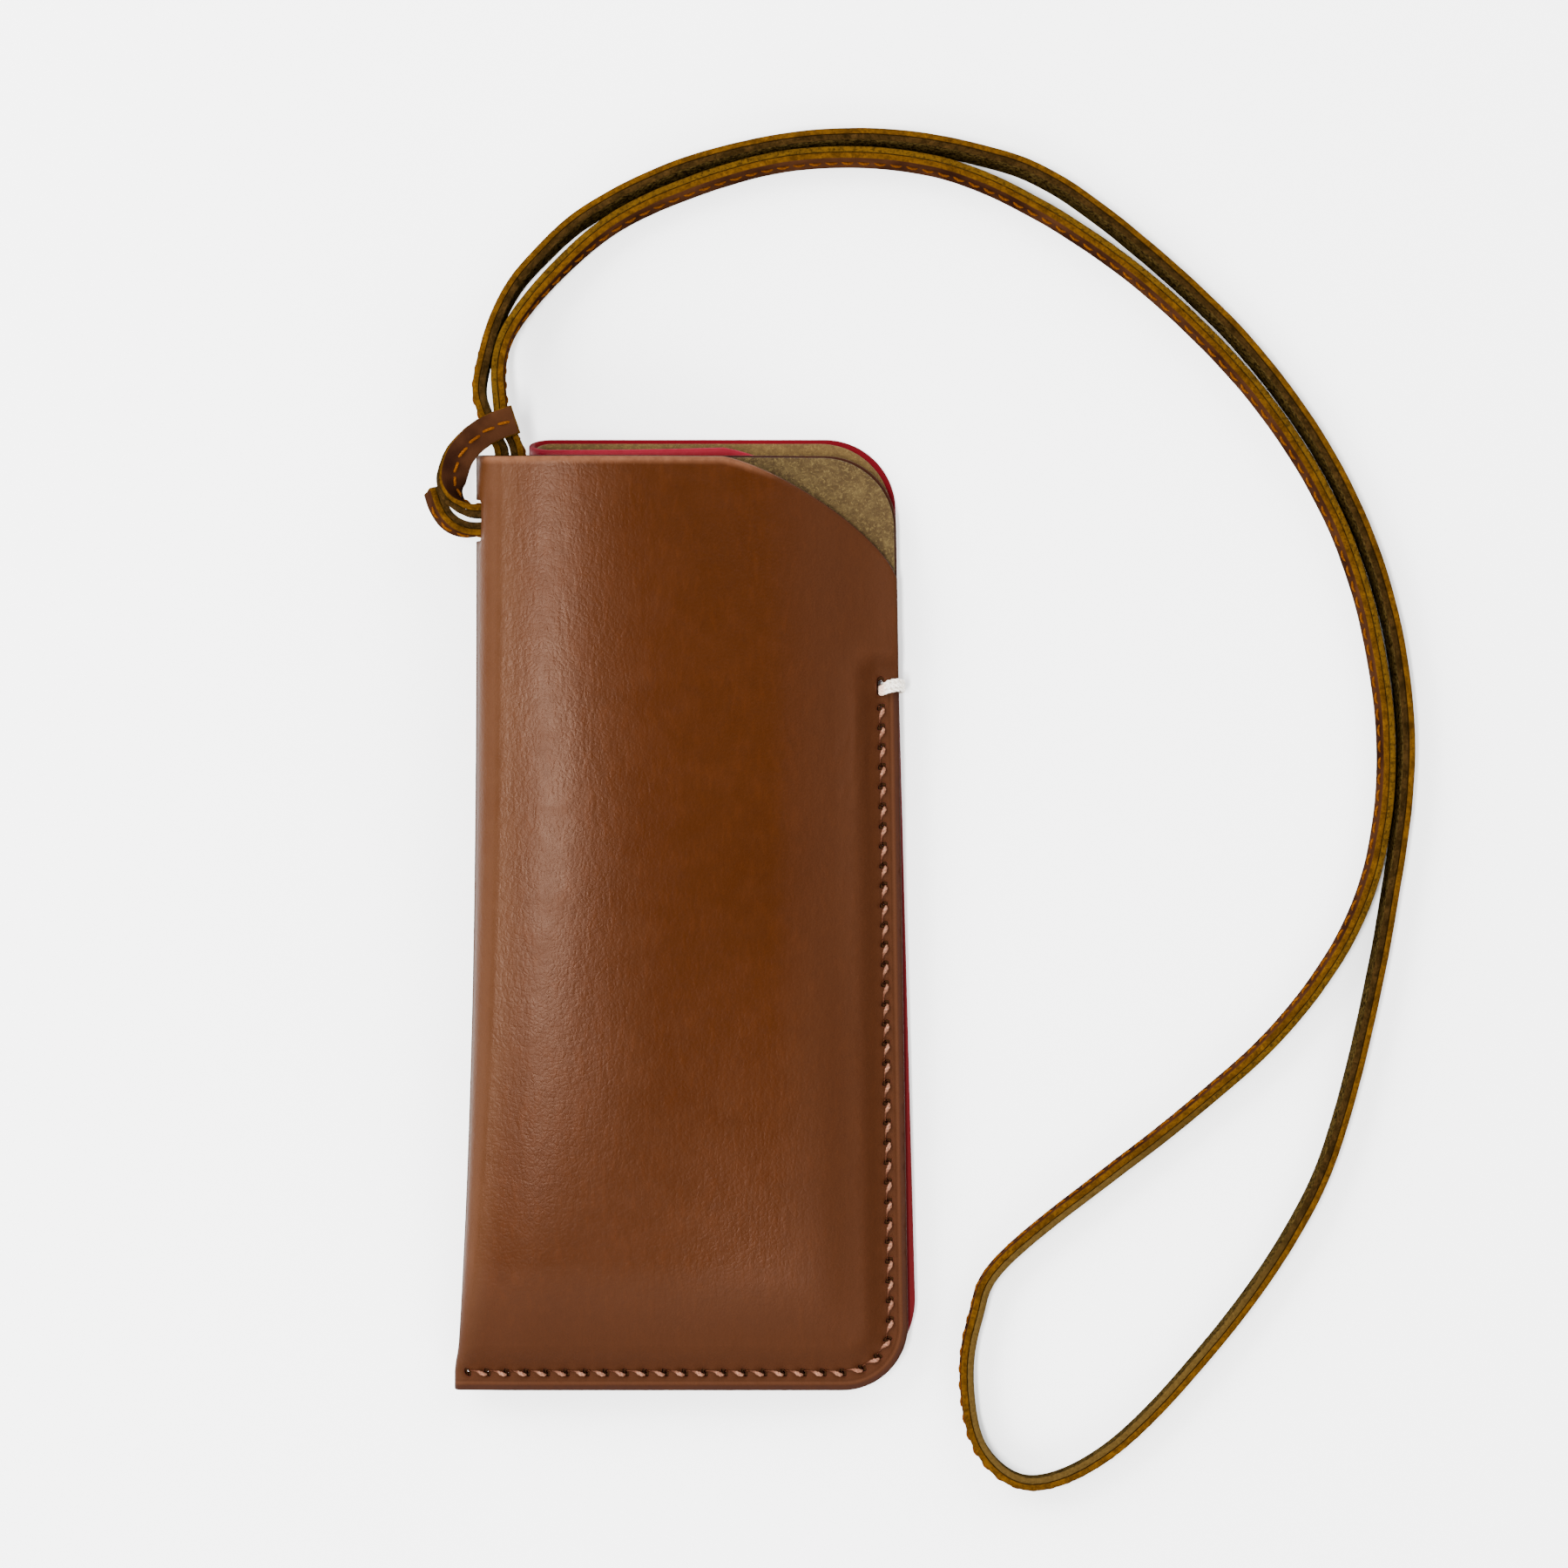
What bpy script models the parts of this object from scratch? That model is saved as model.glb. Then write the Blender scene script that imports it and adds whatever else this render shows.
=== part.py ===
"""A leather sunglasses pouch with a lanyard, lying on its back.

The pouch is two folded leather sheets, a front pocket and a rear pocket behind it, each with a thin suede
lining. One saddle-stitched seam runs down the right side and along the bottom through all four leaves, and a
bar tack holds its upper end. A flat two-ply lanyard goes in at the mouth, comes out of a slot in the front
pocket's fold and is hitched there with two cut tails.

Metres. +X is the sewn side, +Y the mouth, +Z up from the surface that the pouch lies on.
"""

import math

import bpy
import numpy as np
from mathutils import Vector
from mathutils.geometry import delaunay_2d_cdt

# Outline of the front pocket, measured on the pouch as it lies
FRONT_HEIGHT = 0.1703
BOTTOM_Y = -0.0867
SEWN_EDGE_AT_MOUTH = 0.0384
SEWN_EDGE_AT_BOTTOM = 0.0409
FRONT_WIDTH = 0.0841
FRONT_FOLD_X = SEWN_EDGE_AT_BOTTOM - FRONT_WIDTH
BOTTOM_CORNER_R = 0.0120
MOUTH_CORNER_R = 0.0130
SCOOP_WIDTH = 0.0319
SCOOP_DEPTH = 0.0224
SCOOP_POWER = 1.35
SCOOP_CROWDING = 1.5

# How the rear pocket differs from it
REAR_RISE = 0.0032
REAR_BOTTOM_STEP = 0.0010
REAR_FOLD_X = FRONT_FOLD_X + 0.0107
REAR_CORNER_R = 0.0155
REAR_FLARE = 0.0014
REAR_FLARE_START = 0.0238
REAR_FLARE_RUN = 0.0790

# Sheets, and how far each pocket's lining stops short of its mouth edge
LEATHER = 0.0011
LINING = 0.0003
FRONT_MOUTH_TRIM = 0.0004
REAR_MOUTH_TRIM = 0.0008
GLUE_GAP = 0.00015
LAYER_GAP = 0.0003

# How far the pockets stand open at their folds, beyond what their own layers take
FRONT_GAPE = 0.0082
REAR_GAPE = 0.0050
FOLD_SLACK = 0.97
DOME_FALL = 2.2
DOME_ROUND = 1.6
FRONT_DRAW_IN = 0.0007
REAR_DRAW_IN = 0.0022
FOLD_SAG = 0.0008

# Seam
STITCH_INSET = 0.0033
STITCH_PITCH = 0.0036
STITCH_START_Y = 0.0378
STITCH_END_X = -0.0395
THREAD_D = 0.00055
SLIT_LENGTH = 0.0022
SLIT_WIDTH = 0.00115
SLIT_SLANT = math.radians(-55)
THREAD_OFF_CENTRE = 0.00065
PRESSED_WIDTH = 0.0006
RELIEF_RUN = 0.0045
EDGE_LIFT = 0.00125
EDGE_LIFT_RUN = 0.0090
LINING_MARGIN = STITCH_INSET + PRESSED_WIDTH + RELIEF_RUN

# Bar tack at the seam's upper end
TACK_Y = 0.0416
TACK_TURNS = 3
TACK_THREAD_D = 0.00075
TACK_PITCH = 0.0011
TACK_SLOT_WIDTH = 0.00135

# Lanyard and its slot in the front pocket's fold
STRAP_WIDTH = 0.0052
PLY = 0.0011
PLY_GAP = 0.0002
STRAP_LEAN = math.radians(17)
LEAN_FADE = 12
STRAP_THREAD_W = 0.0008
STRAP_THREAD_T = 0.00035
TAIL_LEAD = 0.0022
SLOT_BELOW_MOUTH = 0.01185
SLOT_WIDTH = 0.0074
SLOT_LENGTH = 0.0086
SLOT_TOWARDS_BACK = 0.0010
SLOT_CORNER = 0.0008

# Facets
ARC_STEPS = 4
CORNER_STEPS = 6
SCOOP_STEPS = 9
EDGE_STEP = 0.011
ROW_STEP = 0.0145
LEAF_STEPS = 7
RINGS = 4
RING_STEP = 0.0090
LOOP_POINTS = 78
TAIL_POINTS = 28
STRAIGHTEST_BEND = 2.0
SPLINE_STEPS = 20

# The free loop of the lanyard: across, along, and height above lying on the surface
LOOP_ROUTE = (
    (-0.0339, 0.0862, 0.0102),
    (-0.0359, 0.0906, 0.0093),
    (-0.0371, 0.0965, 0.0072),
    (-0.0338, 0.1095, 0.0022),
    (-0.0275, 0.1190, 0.0006),
    (-0.0160, 0.1288, 0.0),
    (0.0033, 0.1373, 0.0),
    (0.0270, 0.1416, 0.0),
    (0.0505, 0.1395, 0.0),
    (0.0717, 0.1308, 0.0),
    (0.1033, 0.1027, 0.0),
    (0.1233, 0.0710, 0.0),
    (0.1315, 0.0360, 0.0),
    (0.1283, 0.0005, 0.0),
    (0.1191, -0.0398, 0.0),
    (0.1087, -0.0617, 0.0),
    (0.0925, -0.0831, 0.0),
    (0.0771, -0.0983, 0.0),
    (0.0634, -0.1040, 0.0),
    (0.0544, -0.0982, 0.0),
    (0.0515, -0.0860, 0.0),
    (0.0531, -0.0735, 0.0),
    (0.0595, -0.0619, 0.0),
    (0.0917, -0.0365, 0.0),
    (0.1102, -0.0194, 0.0),
    (0.1228, 0.0000, 0.0),
    (0.1278, 0.0210, 0.0),
    (0.1268, 0.0443, 0.0),
    (0.1200, 0.0692, 0.0),
    (0.1066, 0.0922, 0.0),
    (0.0871, 0.1129, 0.0),
    (0.0656, 0.1282, 0.0),
    (0.0450, 0.1368, 0.0),
    (0.0218, 0.1380, 0.0),
    (0.0010, 0.1328, 0.0),
    (-0.0165, 0.1237, 0.0003),
    (-0.0321, 0.1062, 0.0032),
    (-0.0333, 0.0920, 0.0088),
    (-0.0309, 0.0862, 0.0102),
)

# Tails, in the loop's own direction: across, along, above, and the strap's lean in degrees
UPPER_TAIL_ROUTE = (
    (-0.0303, 0.0896, 0.0173, 89),
    (-0.0335, 0.0885, 0.0175, 88),
    (-0.0361, 0.0872, 0.0177, 86),
    (-0.0384, 0.0854, 0.0178, 84),
    (-0.0404, 0.0831, 0.0173, 78),
    (-0.0415, 0.0807, 0.0161, 68),
    (-0.0420, 0.0787, 0.0150, 53),
    (-0.0419, 0.0767, 0.0143, 30),
    (-0.0411, 0.0750, 0.0137, 9),
    (-0.0399, 0.0738, 0.0134, 2),
    (-0.0382, 0.0732, 0.0133, 0),
    (-0.0360, 0.0732, 0.0133, 0),
    (-0.0343, 0.0736, 0.0134, 0),
    (-0.0332, 0.0751, 0.0134, 0),
    (-0.0329, 0.0785, 0.0134, 0),
    (-0.0329, 0.0815, 0.0134, 0),
)
LOWER_TAIL_ROUTE = (
    (-0.0299, 0.0815, 0.0134, 0),
    (-0.0299, 0.0775, 0.0134, 0),
    (-0.0303, 0.0742, 0.0134, 0),
    (-0.0317, 0.0717, 0.0134, 0),
    (-0.0338, 0.0703, 0.0133, 0),
    (-0.0360, 0.0700, 0.0133, 0),
    (-0.0378, 0.0699, 0.0132, 1),
    (-0.0396, 0.0700, 0.0130, 7),
    (-0.0415, 0.0706, 0.0126, 13),
    (-0.0431, 0.0718, 0.0122, 16),
    (-0.0442, 0.0734, 0.0118, 17),
    (-0.0450, 0.0752, 0.0113, 18),
    (-0.0456, 0.0771, 0.0110, 18),
)


def smooth(t):
    """0 to 1 with a flat start and a flat end."""
    t = np.clip(t, 0.0, 1.0)
    return t * t * (3 - 2 * t)


def sewn_edge_x(y):
    """The straight cut edge at the sewn side, which leans out towards the bottom."""
    share = (y - BOTTOM_Y) / FRONT_HEIGHT
    return SEWN_EDGE_AT_BOTTOM + (SEWN_EDGE_AT_MOUTH - SEWN_EDGE_AT_BOTTOM) * share


def inset(x, y):
    """How far inside the front pocket's sewn outline a point lies, side, round corner and bottom."""
    side = sewn_edge_x(y) - x
    below = y - BOTTOM_Y
    across = BOTTOM_CORNER_R - side
    along = BOTTOM_CORNER_R - below
    round_corner = BOTTOM_CORNER_R - np.hypot(across, along)
    return np.where((across > 0) & (along > 0), round_corner, np.minimum(side, below))


def from_seam(x, y):
    """How far a point lies from the pressed strip along the seam."""
    inwards = np.maximum(inset(x, y) - STITCH_INSET, 0.0)
    above = np.maximum(y - TACK_Y - tack_length() / 2, 0.0)
    return np.hypot(inwards, above)


def tack_length():
    return TACK_PITCH * (TACK_TURNS - 1) + TACK_THREAD_D + 2 * LAYER_GAP


def relief(x, y):
    """The extra space that the two linings take, opened up smoothly beside the pressed strip."""
    return 2 * (LINING + GLUE_GAP) * smooth((from_seam(x, y) - PRESSED_WIDTH) / RELIEF_RUN)


def table_side(x, y):
    """The rear leaf's underside: flat, with the sewn edges lifted clear of the thread below them."""
    return EDGE_LIFT * (1 - smooth(from_seam(x, y) / EDGE_LIFT_RUN))


class Pocket:
    """A folded sheet: a back leaf, a round fold and a front leaf that arches up from the seam."""

    def __init__(self, fold_x, bottom_y, top_y, gape, corner_r, flare, draw_in, mouth_trim, underside):
        self.fold_x = fold_x
        self.bottom_y = bottom_y
        self.top_y = top_y
        self.gape = gape
        self.corner_r = corner_r
        self.flare = flare
        self.draw_in = draw_in
        self.mouth_trim = mouth_trim
        self.underside = underside

    def edge_x(self, y):
        return sewn_edge_x(y) + self.flare * smooth((REAR_FLARE_START - y) / REAR_FLARE_RUN)

    def fold_height(self, y):
        """How high the fold stands: closed at the bottom seam, fully open at the mouth."""
        height = (y - BOTTOM_Y - STITCH_INSET) / (self.top_y - BOTTOM_Y - STITCH_INSET)
        opened = 1 - (1 - np.clip(height, 0.0, 1.0)) ** 3
        spare = relief(self.fold_x + 0 * y, y)
        return 2 * LEATHER + LAYER_GAP + spare + self.gape * opened

    def crown_x(self, y):
        """Where the round fold ends and the leaves begin."""
        return self.fold_x + (1 + FOLD_SLACK) * self.fold_height(y) / 2

    def topside(self, x, y):
        """The front leaf's outer face."""
        crown = self.crown_x(y)
        across = np.clip((x - crown) / (sewn_edge_x(y) - STITCH_INSET - crown), 0.0, 1.0)
        arch = (1 - across**DOME_FALL) ** DOME_ROUND
        closed = 2 * LEATHER + LAYER_GAP + relief(x, y)
        gape = self.fold_height(y) - 2 * LEATHER - LAYER_GAP - relief(self.fold_x + 0 * y, y)
        return self.underside(x, y) + closed + gape * arch

    def arc(self, y):
        """The flat length of a quarter of the round fold."""
        return math.pi / 4 * self.fold_height(y)

    def flat(self, x, y):
        """How far from the fold line a point of a leaf lies on the flat pattern."""
        crown = self.crown_x(y)
        stretch = (self.edge_x(y) - self.fold_x - self.arc(y)) / (self.edge_x(y) - crown)
        return self.arc(y) + (x - crown) * stretch

    def place(self, s, y, depth):
        """Folds points of the flat pattern: s is positive on the front leaf and depth is inwards."""
        arc, crown, radius = self.arc(y), self.crown_x(y), self.fold_height(y) / 2
        stretch = (self.edge_x(y) - self.fold_x - arc) / (self.edge_x(y) - crown)
        x_leaf = crown + (np.abs(s) - arc) / stretch
        turn = np.clip(s / arc, -1.0, 1.0) * math.pi / 2
        in_fold = np.abs(s) < arc
        x = np.where(in_fold, crown - (radius - depth) * np.cos(turn), x_leaf)
        z_fold = self.underside(crown, y) + radius + (radius - depth) * np.sin(turn)
        z_leaf = np.where(s > 0, self.topside(x_leaf, y) - depth, self.underside(x_leaf, y) + depth)
        across = np.clip((x_leaf - crown) / (sewn_edge_x(y) - STITCH_INSET - crown), 0.0, 1.0)
        height = (y - self.bottom_y) / (self.top_y - self.bottom_y)
        drawn = self.draw_in * (1 + np.sin(turn)) / 2 * (1 - across**DOME_FALL) * height**2
        return np.stack([x, y - drawn, np.where(in_fold, z_fold, z_leaf)], axis=-1)


REAR = Pocket(
    REAR_FOLD_X,
    BOTTOM_Y + REAR_BOTTOM_STEP,
    BOTTOM_Y + FRONT_HEIGHT + REAR_RISE,
    REAR_GAPE,
    REAR_CORNER_R,
    REAR_FLARE,
    REAR_DRAW_IN,
    REAR_MOUTH_TRIM,
    table_side,
)


def on_the_rear_pocket(x, y):
    """The front pocket's underside: it lies on the rear pocket and sags past that one's fold."""
    rear_crown = REAR.crown_x(y)
    front_crown = FRONT_FOLD_X + (rear_crown - REAR_FOLD_X)
    beyond = smooth((rear_crown - x) / (rear_crown - front_crown))
    return REAR.topside(np.maximum(x, rear_crown), y) + LAYER_GAP - FOLD_SAG * beyond


FRONT = Pocket(
    FRONT_FOLD_X,
    BOTTOM_Y,
    BOTTOM_Y + FRONT_HEIGHT,
    FRONT_GAPE,
    BOTTOM_CORNER_R,
    0.0,
    FRONT_DRAW_IN,
    FRONT_MOUTH_TRIM,
    on_the_rear_pocket,
)


def turned(centre, radius, start, end, steps):
    """Points of an arc, angles in degrees."""
    angles = [math.radians(start + (end - start) * i / steps) for i in range(steps + 1)]
    return [(centre[0] + radius * math.cos(a), centre[1] + radius * math.sin(a)) for a in angles]


def scoop(pocket):
    """The front leaf's cut-away: from the sewn edge up and across to the mouth line."""
    low = pocket.top_y - SCOOP_DEPTH
    points = []
    for i in range(SCOOP_STEPS + 1):
        across = (1 - i / SCOOP_STEPS) ** SCOOP_CROWDING
        up = (1 - across**SCOOP_POWER) ** (1 / SCOOP_POWER)
        y = low + SCOOP_DEPTH * up
        points.append((pocket.edge_x(low) - SCOOP_WIDTH * (1 - across), y))
    return points


def mouth_corner(pocket):
    """The back leaf's round corner beside the mouth."""
    y = pocket.top_y - MOUTH_CORNER_R
    return turned((pocket.edge_x(y) - MOUTH_CORNER_R, y), MOUTH_CORNER_R, 0, 90, CORNER_STEPS)


def sewn_edges(pocket, margin):
    """The line that runs a margin inside the sewn edges: bottom, round corner and side, up to the tack."""
    bottom = BOTTOM_Y + margin if margin else pocket.bottom_y
    edge = sewn_edge_x if margin else pocket.edge_x
    radius = (BOTTOM_CORNER_R if margin else pocket.corner_r) - margin
    centre = (edge(bottom + radius) - margin - radius, bottom + radius)
    corner = turned(centre, radius, -90, 0, CORNER_STEPS)
    return [(float(pocket.crown_x(bottom)), bottom)] + [(float(x), float(y)) for x, y in corner]


def lining_top():
    """How high the lining's side is cut back: above it, the lining reaches the leather's edge."""
    return TACK_Y + tack_length() / 2 + LINING_MARGIN - STITCH_INSET


def run(start, end, step):
    """Points after start up to end, evenly spaced."""
    count = max(1, round(math.dist(start, end) / step))
    return [tuple(np.array(start) + (np.array(end) - start) * i / count) for i in range(1, count + 1)]


def flat_line(pocket, corners):
    """A line along one leaf, in short steps, laid out on the flat pattern."""
    line = corners[:1]
    for corner in corners[1:]:
        line += run(line[-1], corner, EDGE_STEP)
    x, y = np.array(line).T
    return list(zip(pocket.flat(x, y), y, strict=True))


def across_fold(pocket, y):
    """Points along a quarter of the round fold, from the fold line to the crown."""
    return [(float(pocket.arc(y)) * k / ARC_STEPS, y) for k in range(ARC_STEPS)]


def mirrored(line):
    return [(-s, y) for s, y in line]


def leaf_line(pocket, mouth_end, lined):
    """One leaf's cut line, or its lining's, from the bottom of the fold round to the top of it."""
    top = lining_top()
    trim = pocket.mouth_trim if lined else 0.0
    if lined:
        corners = sewn_edges(pocket, LINING_MARGIN) + [(float(sewn_edge_x(top)) - LINING_MARGIN, top)]
        marks = (top,)
    else:
        corners = sewn_edges(pocket, 0.0)
        marks = (TACK_Y - tack_length() / 2, TACK_Y + tack_length() / 2, top)
    corners += [(float(pocket.edge_x(y)) - trim, y) for y in marks]
    corners += [(x - trim, y - trim) for x, y in mouth_end]
    corners.append((float(pocket.crown_x(pocket.top_y)), pocket.top_y - trim))
    line = across_fold(pocket, corners[0][1]) + flat_line(pocket, corners)
    return line + across_fold(pocket, pocket.top_y - trim)[::-1]


def flat_outline(pocket, lined):
    """The cut line of the whole leather sheet, or of its lining, on the flat, anticlockwise."""
    front = leaf_line(pocket, scoop(pocket), lined)
    back = leaf_line(pocket, mouth_corner(pocket), lined)
    return front + mirrored(back[-2:0:-1])


def grid_points(pocket):
    """Points inside the sheet on the flat: rows across it, and rings that follow the sewn edges."""
    rows = int((pocket.top_y - pocket.bottom_y) / ROW_STEP)
    points = []
    for row in range(1, rows + 1):
        y = pocket.bottom_y + (pocket.top_y - pocket.bottom_y) * row / (rows + 1)
        crown, inner = float(pocket.crown_x(y)), float(sewn_edge_x(y)) - LINING_MARGIN
        across = [crown + (inner - crown) * k / LEAF_STEPS for k in range(1, LEAF_STEPS)]
        s_leaf = [float(pocket.flat(x, y)) for x in across]
        arcs = [float(pocket.arc(y)) * k / ARC_STEPS for k in range(1, ARC_STEPS + 1)]
        points += [(0.0, y)] + [(side * s, y) for s in arcs + s_leaf for side in (-1, 1)]
    for ring in range(RINGS):
        points += ring_points(pocket, STITCH_INSET + PRESSED_WIDTH + RELIEF_RUN * ring / RINGS)
    return points


def ring_points(pocket, cut_in):
    """Points at one distance inside the sewn edges, on both leaves."""
    radius = BOTTOM_CORNER_R - cut_in
    low = BOTTOM_Y + cut_in
    start = (float(pocket.crown_x(low)), low)
    corner = turned((sewn_edge_x(low) - cut_in - radius, low + radius), radius, -90, 0, 3)
    line = run(start, corner[0], RING_STEP) + corner[1:]
    top = TACK_Y + tack_length()
    line += run(corner[-1], (sewn_edge_x(top) - cut_in, top), RING_STEP)
    return [(side * float(pocket.flat(x, y)), y) for x, y in line for side in (-1, 1)]


def stitch_line():
    """The seam's own line: down the side, round the corner and along the bottom to the fold."""
    radius = BOTTOM_CORNER_R - STITCH_INSET
    low = BOTTOM_Y + STITCH_INSET
    centre = (sewn_edge_x(low + radius) - STITCH_INSET - radius, low + radius)
    side_top = (sewn_edge_x(STITCH_START_Y) - STITCH_INSET, STITCH_START_Y)
    corner = turned(centre, radius, 0, -90, 4 * CORNER_STEPS)
    return np.array([side_top, *corner, (STITCH_END_X, low)])


def stitch_holes():
    """The hole centres, evenly spaced along the seam, and the seam's direction at each."""
    line = stitch_line()
    lengths = np.concatenate([[0], np.cumsum(np.linalg.norm(np.diff(line, axis=0), axis=1))])
    count = round(lengths[-1] / STITCH_PITCH)
    at = np.linspace(0, lengths[-1], count + 1)
    centres = np.stack([np.interp(at, lengths, line[:, k]) for k in (0, 1)], axis=1)
    ahead = np.stack([np.interp(at + THREAD_D, lengths, line[:, k]) for k in (0, 1)], axis=1)
    behind = np.stack([np.interp(at - THREAD_D, lengths, line[:, k]) for k in (0, 1)], axis=1)
    along = ahead - behind
    return centres, along / np.linalg.norm(along, axis=1)[:, None]


def slit_axis(along):
    """A stitch slit's long direction, slanted across the seam."""
    c, s = math.cos(SLIT_SLANT), math.sin(SLIT_SLANT)
    return np.array([along[0] * c - along[1] * s, along[0] * s + along[1] * c])


def slits():
    """The diamond of each stitch slit, as the awl leaves it."""
    diamonds = []
    for centre, along in zip(*stitch_holes(), strict=True):
        axis = slit_axis(along)
        wide = np.array([-axis[1], axis[0]])
        half, thick = axis * SLIT_LENGTH / 2, wide * SLIT_WIDTH / 2
        quarter = half / 2
        diamonds.append([centre - half, centre - quarter - thick, centre + quarter - thick])
        diamonds[-1] += [centre + half, centre + quarter + thick, centre - quarter + thick]
    return diamonds


def tack_slot():
    """The opening that the bar tack's thread passes through, beside the sewn edge."""
    x = sewn_edge_x(TACK_Y) - STITCH_INSET
    half_x, half_y = TACK_SLOT_WIDTH / 2, tack_length() / 2
    return [(x - half_x, TACK_Y - half_y), (x + half_x, TACK_Y - half_y),
            (x + half_x, TACK_Y + half_y), (x - half_x, TACK_Y + half_y)]


def goes_through(pocket, x, y):
    """Whether a stitch goes through the pocket's leaves, not past its fold."""
    return x > pocket.crown_x(y) + SLIT_LENGTH / 2


def sewn_holes(pocket):
    """Every hole of the seam on the flat pattern, in both leaves of the pocket."""
    holes = []
    for hole in slits() + [tack_slot()]:
        x, y = np.array(hole).T
        if goes_through(pocket, x.mean(), y.mean()):
            s = pocket.flat(x, y)
            holes += [list(zip(s, y, strict=True)), list(zip(-s, y, strict=True))]
    return holes


def lanyard_slot():
    """The slot across the front pocket's fold, with its corners taken off."""
    y = FRONT.top_y - SLOT_BELOW_MOUTH
    half_s, half_y = SLOT_LENGTH / 2, SLOT_WIDTH / 2
    flat_s, flat_y = half_s - SLOT_CORNER, half_y - SLOT_CORNER
    side = [(0.0, -half_y), (flat_s, -half_y), (half_s, -flat_y), (half_s, flat_y), (flat_s, half_y)]
    loop = side + [(-s, -up) for s, up in side]
    return [(s - SLOT_TOWARDS_BACK, y + up) for s, up in loop]


def inside(points, polygon):
    """Which of the points lie inside a polygon."""
    found = np.zeros(len(points), bool)
    for (x0, y0), (x1, y1) in zip(polygon, polygon[1:] + polygon[:1], strict=True):
        if y0 != y1:
            crosses = (points[:, 1] < y0) != (points[:, 1] < y1)
            found ^= crosses & (points[:, 0] < x0 + (points[:, 1] - y0) * (x1 - x0) / (y1 - y0))
    return found


def near_line(points, polygon, distance):
    """Which of the points lie within a distance of a line."""
    found = np.zeros(len(points), bool)
    for start, end in zip(polygon, polygon[1:], strict=False):
        start, way = np.array(start), np.array(end) - start
        t = np.clip((points - start) @ way / max(way @ way, 1e-12), 0, 1)
        found |= np.linalg.norm(points - start - t[:, None] * way, axis=1) < distance
    return found


def thinned(points, distance):
    """The points, without those too close to an earlier one."""
    kept = []
    for p in points:
        if all(math.dist(p, q) >= distance for q in kept):
            kept.append(p)
    return kept


def cut_sheet(outline, lining, holes, grid):
    """Triangles of a flat sheet with its holes cut out: points, corners, and which are lined."""
    spare = np.array(thinned(grid, LEATHER))
    keep = inside(spare, outline) & ~near_line(spare, outline + outline[:1], 2 * LEATHER)
    keep &= ~near_line(spare, lining + lining[:1], LEATHER)
    for hole in holes:
        keep &= ~near_line(spare, hole + hole[:1], LEATHER / 2) & ~inside(spare, hole)
    points, edges = [], []
    for loop in [outline, lining] + holes:
        first = len(points)
        points += loop
        edges += [(first + i, first + (i + 1) % len(loop)) for i in range(len(loop))]
    points += [tuple(p) for p in spare[keep]]
    per_mm = 1000
    made = delaunay_2d_cdt([Vector(p) * per_mm for p in points], edges, [], 0, 1e-5)
    points, faces = np.array([tuple(v) for v in made[0]]) / per_mm, np.array(made[2])
    middles = points[faces].mean(axis=1)
    solid = inside(middles, outline)
    for hole in holes:
        solid &= ~inside(middles, hole)
    return points, faces[solid], inside(middles, lining)[solid]


def new_object(name, vertices, faces, material, smooth_below=35):
    """A mesh object with its own material, shaded smooth over gentle bends."""
    mesh = bpy.data.meshes.new(name)
    mesh.from_pydata([tuple(v) for v in vertices], [], [tuple(int(i) for i in f) for f in faces])
    mesh.validate()
    mesh.shade_smooth()
    mesh.set_sharp_from_angle(angle=math.radians(smooth_below))
    mesh.materials.append(material)
    obj = bpy.data.objects.new(name, mesh)
    bpy.context.scene.collection.objects.link(obj)
    return obj


def thick_sheet(name, pocket, points, faces, depth, thickness, material):
    """Folds a cut sheet to the pocket's form and gives it its thickness."""
    used, corners = np.unique(faces, return_inverse=True)
    faces = corners.reshape(faces.shape)
    s, y = points[used].T
    vertices = np.concatenate([pocket.place(s, y, depth), pocket.place(s, y, depth + thickness)])
    count = len(used)
    sides = np.concatenate([faces[:, [0, 1]], faces[:, [1, 2]], faces[:, [2, 0]]])
    shared = {tuple(side) for side in sides}
    rims = [(b, a, a + count, b + count) for a, b in sides if (b, a) not in shared]
    skins = [tuple(f) for f in faces] + [tuple(f[::-1] + count) for f in faces]
    return new_object(name, vertices, skins + rims, material)


def lined_pocket(name, pocket, slots, leather, suede):
    """The leather and the lining, cut from one pattern so that they lie parallel everywhere."""
    holes = sewn_holes(pocket) + slots
    cut_line, lining_line = flat_outline(pocket, False), flat_outline(pocket, True)
    points, faces, lined = cut_sheet(cut_line, lining_line, holes, grid_points(pocket))
    thick_sheet(name + "_leather", pocket, points, faces, 0.0, LEATHER, leather)
    thick_sheet(name + "_lining", pocket, points, faces[lined], LEATHER + GLUE_GAP, LINING, suede)


def below_the_seam(x, y):
    """The underside of the lowest leaf at a stitch."""
    return np.where(goes_through(REAR, x, y), table_side(x, y), FRONT.underside(x, y))


def saddle_thread(name, first_on_top, material):
    """One of the two threads: over the top of every second gap, and under the others."""
    centres, along = stitch_holes()
    reach = LAYER_GAP / 2 + THREAD_D / 2
    below = below_the_seam(*centres.T)
    points = []
    for i, centre in enumerate(centres):
        goes_down = (i % 2 == 0) == first_on_top
        run_end = min(i + 1, len(centres) - 1) if goes_down else max(i - 1, 0)
        x, y = centre + slit_axis(along[i]) * THREAD_OFF_CENTRE * (1 if goes_down else -1)
        high = (x, y, float(FRONT.topside(x, y)) + reach)
        low = (x, y, float(min(below[i], below[run_end])) - reach)
        points += [high, low] if goes_down else [low, high]
    return tube(name, points, THREAD_D, material)


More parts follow.
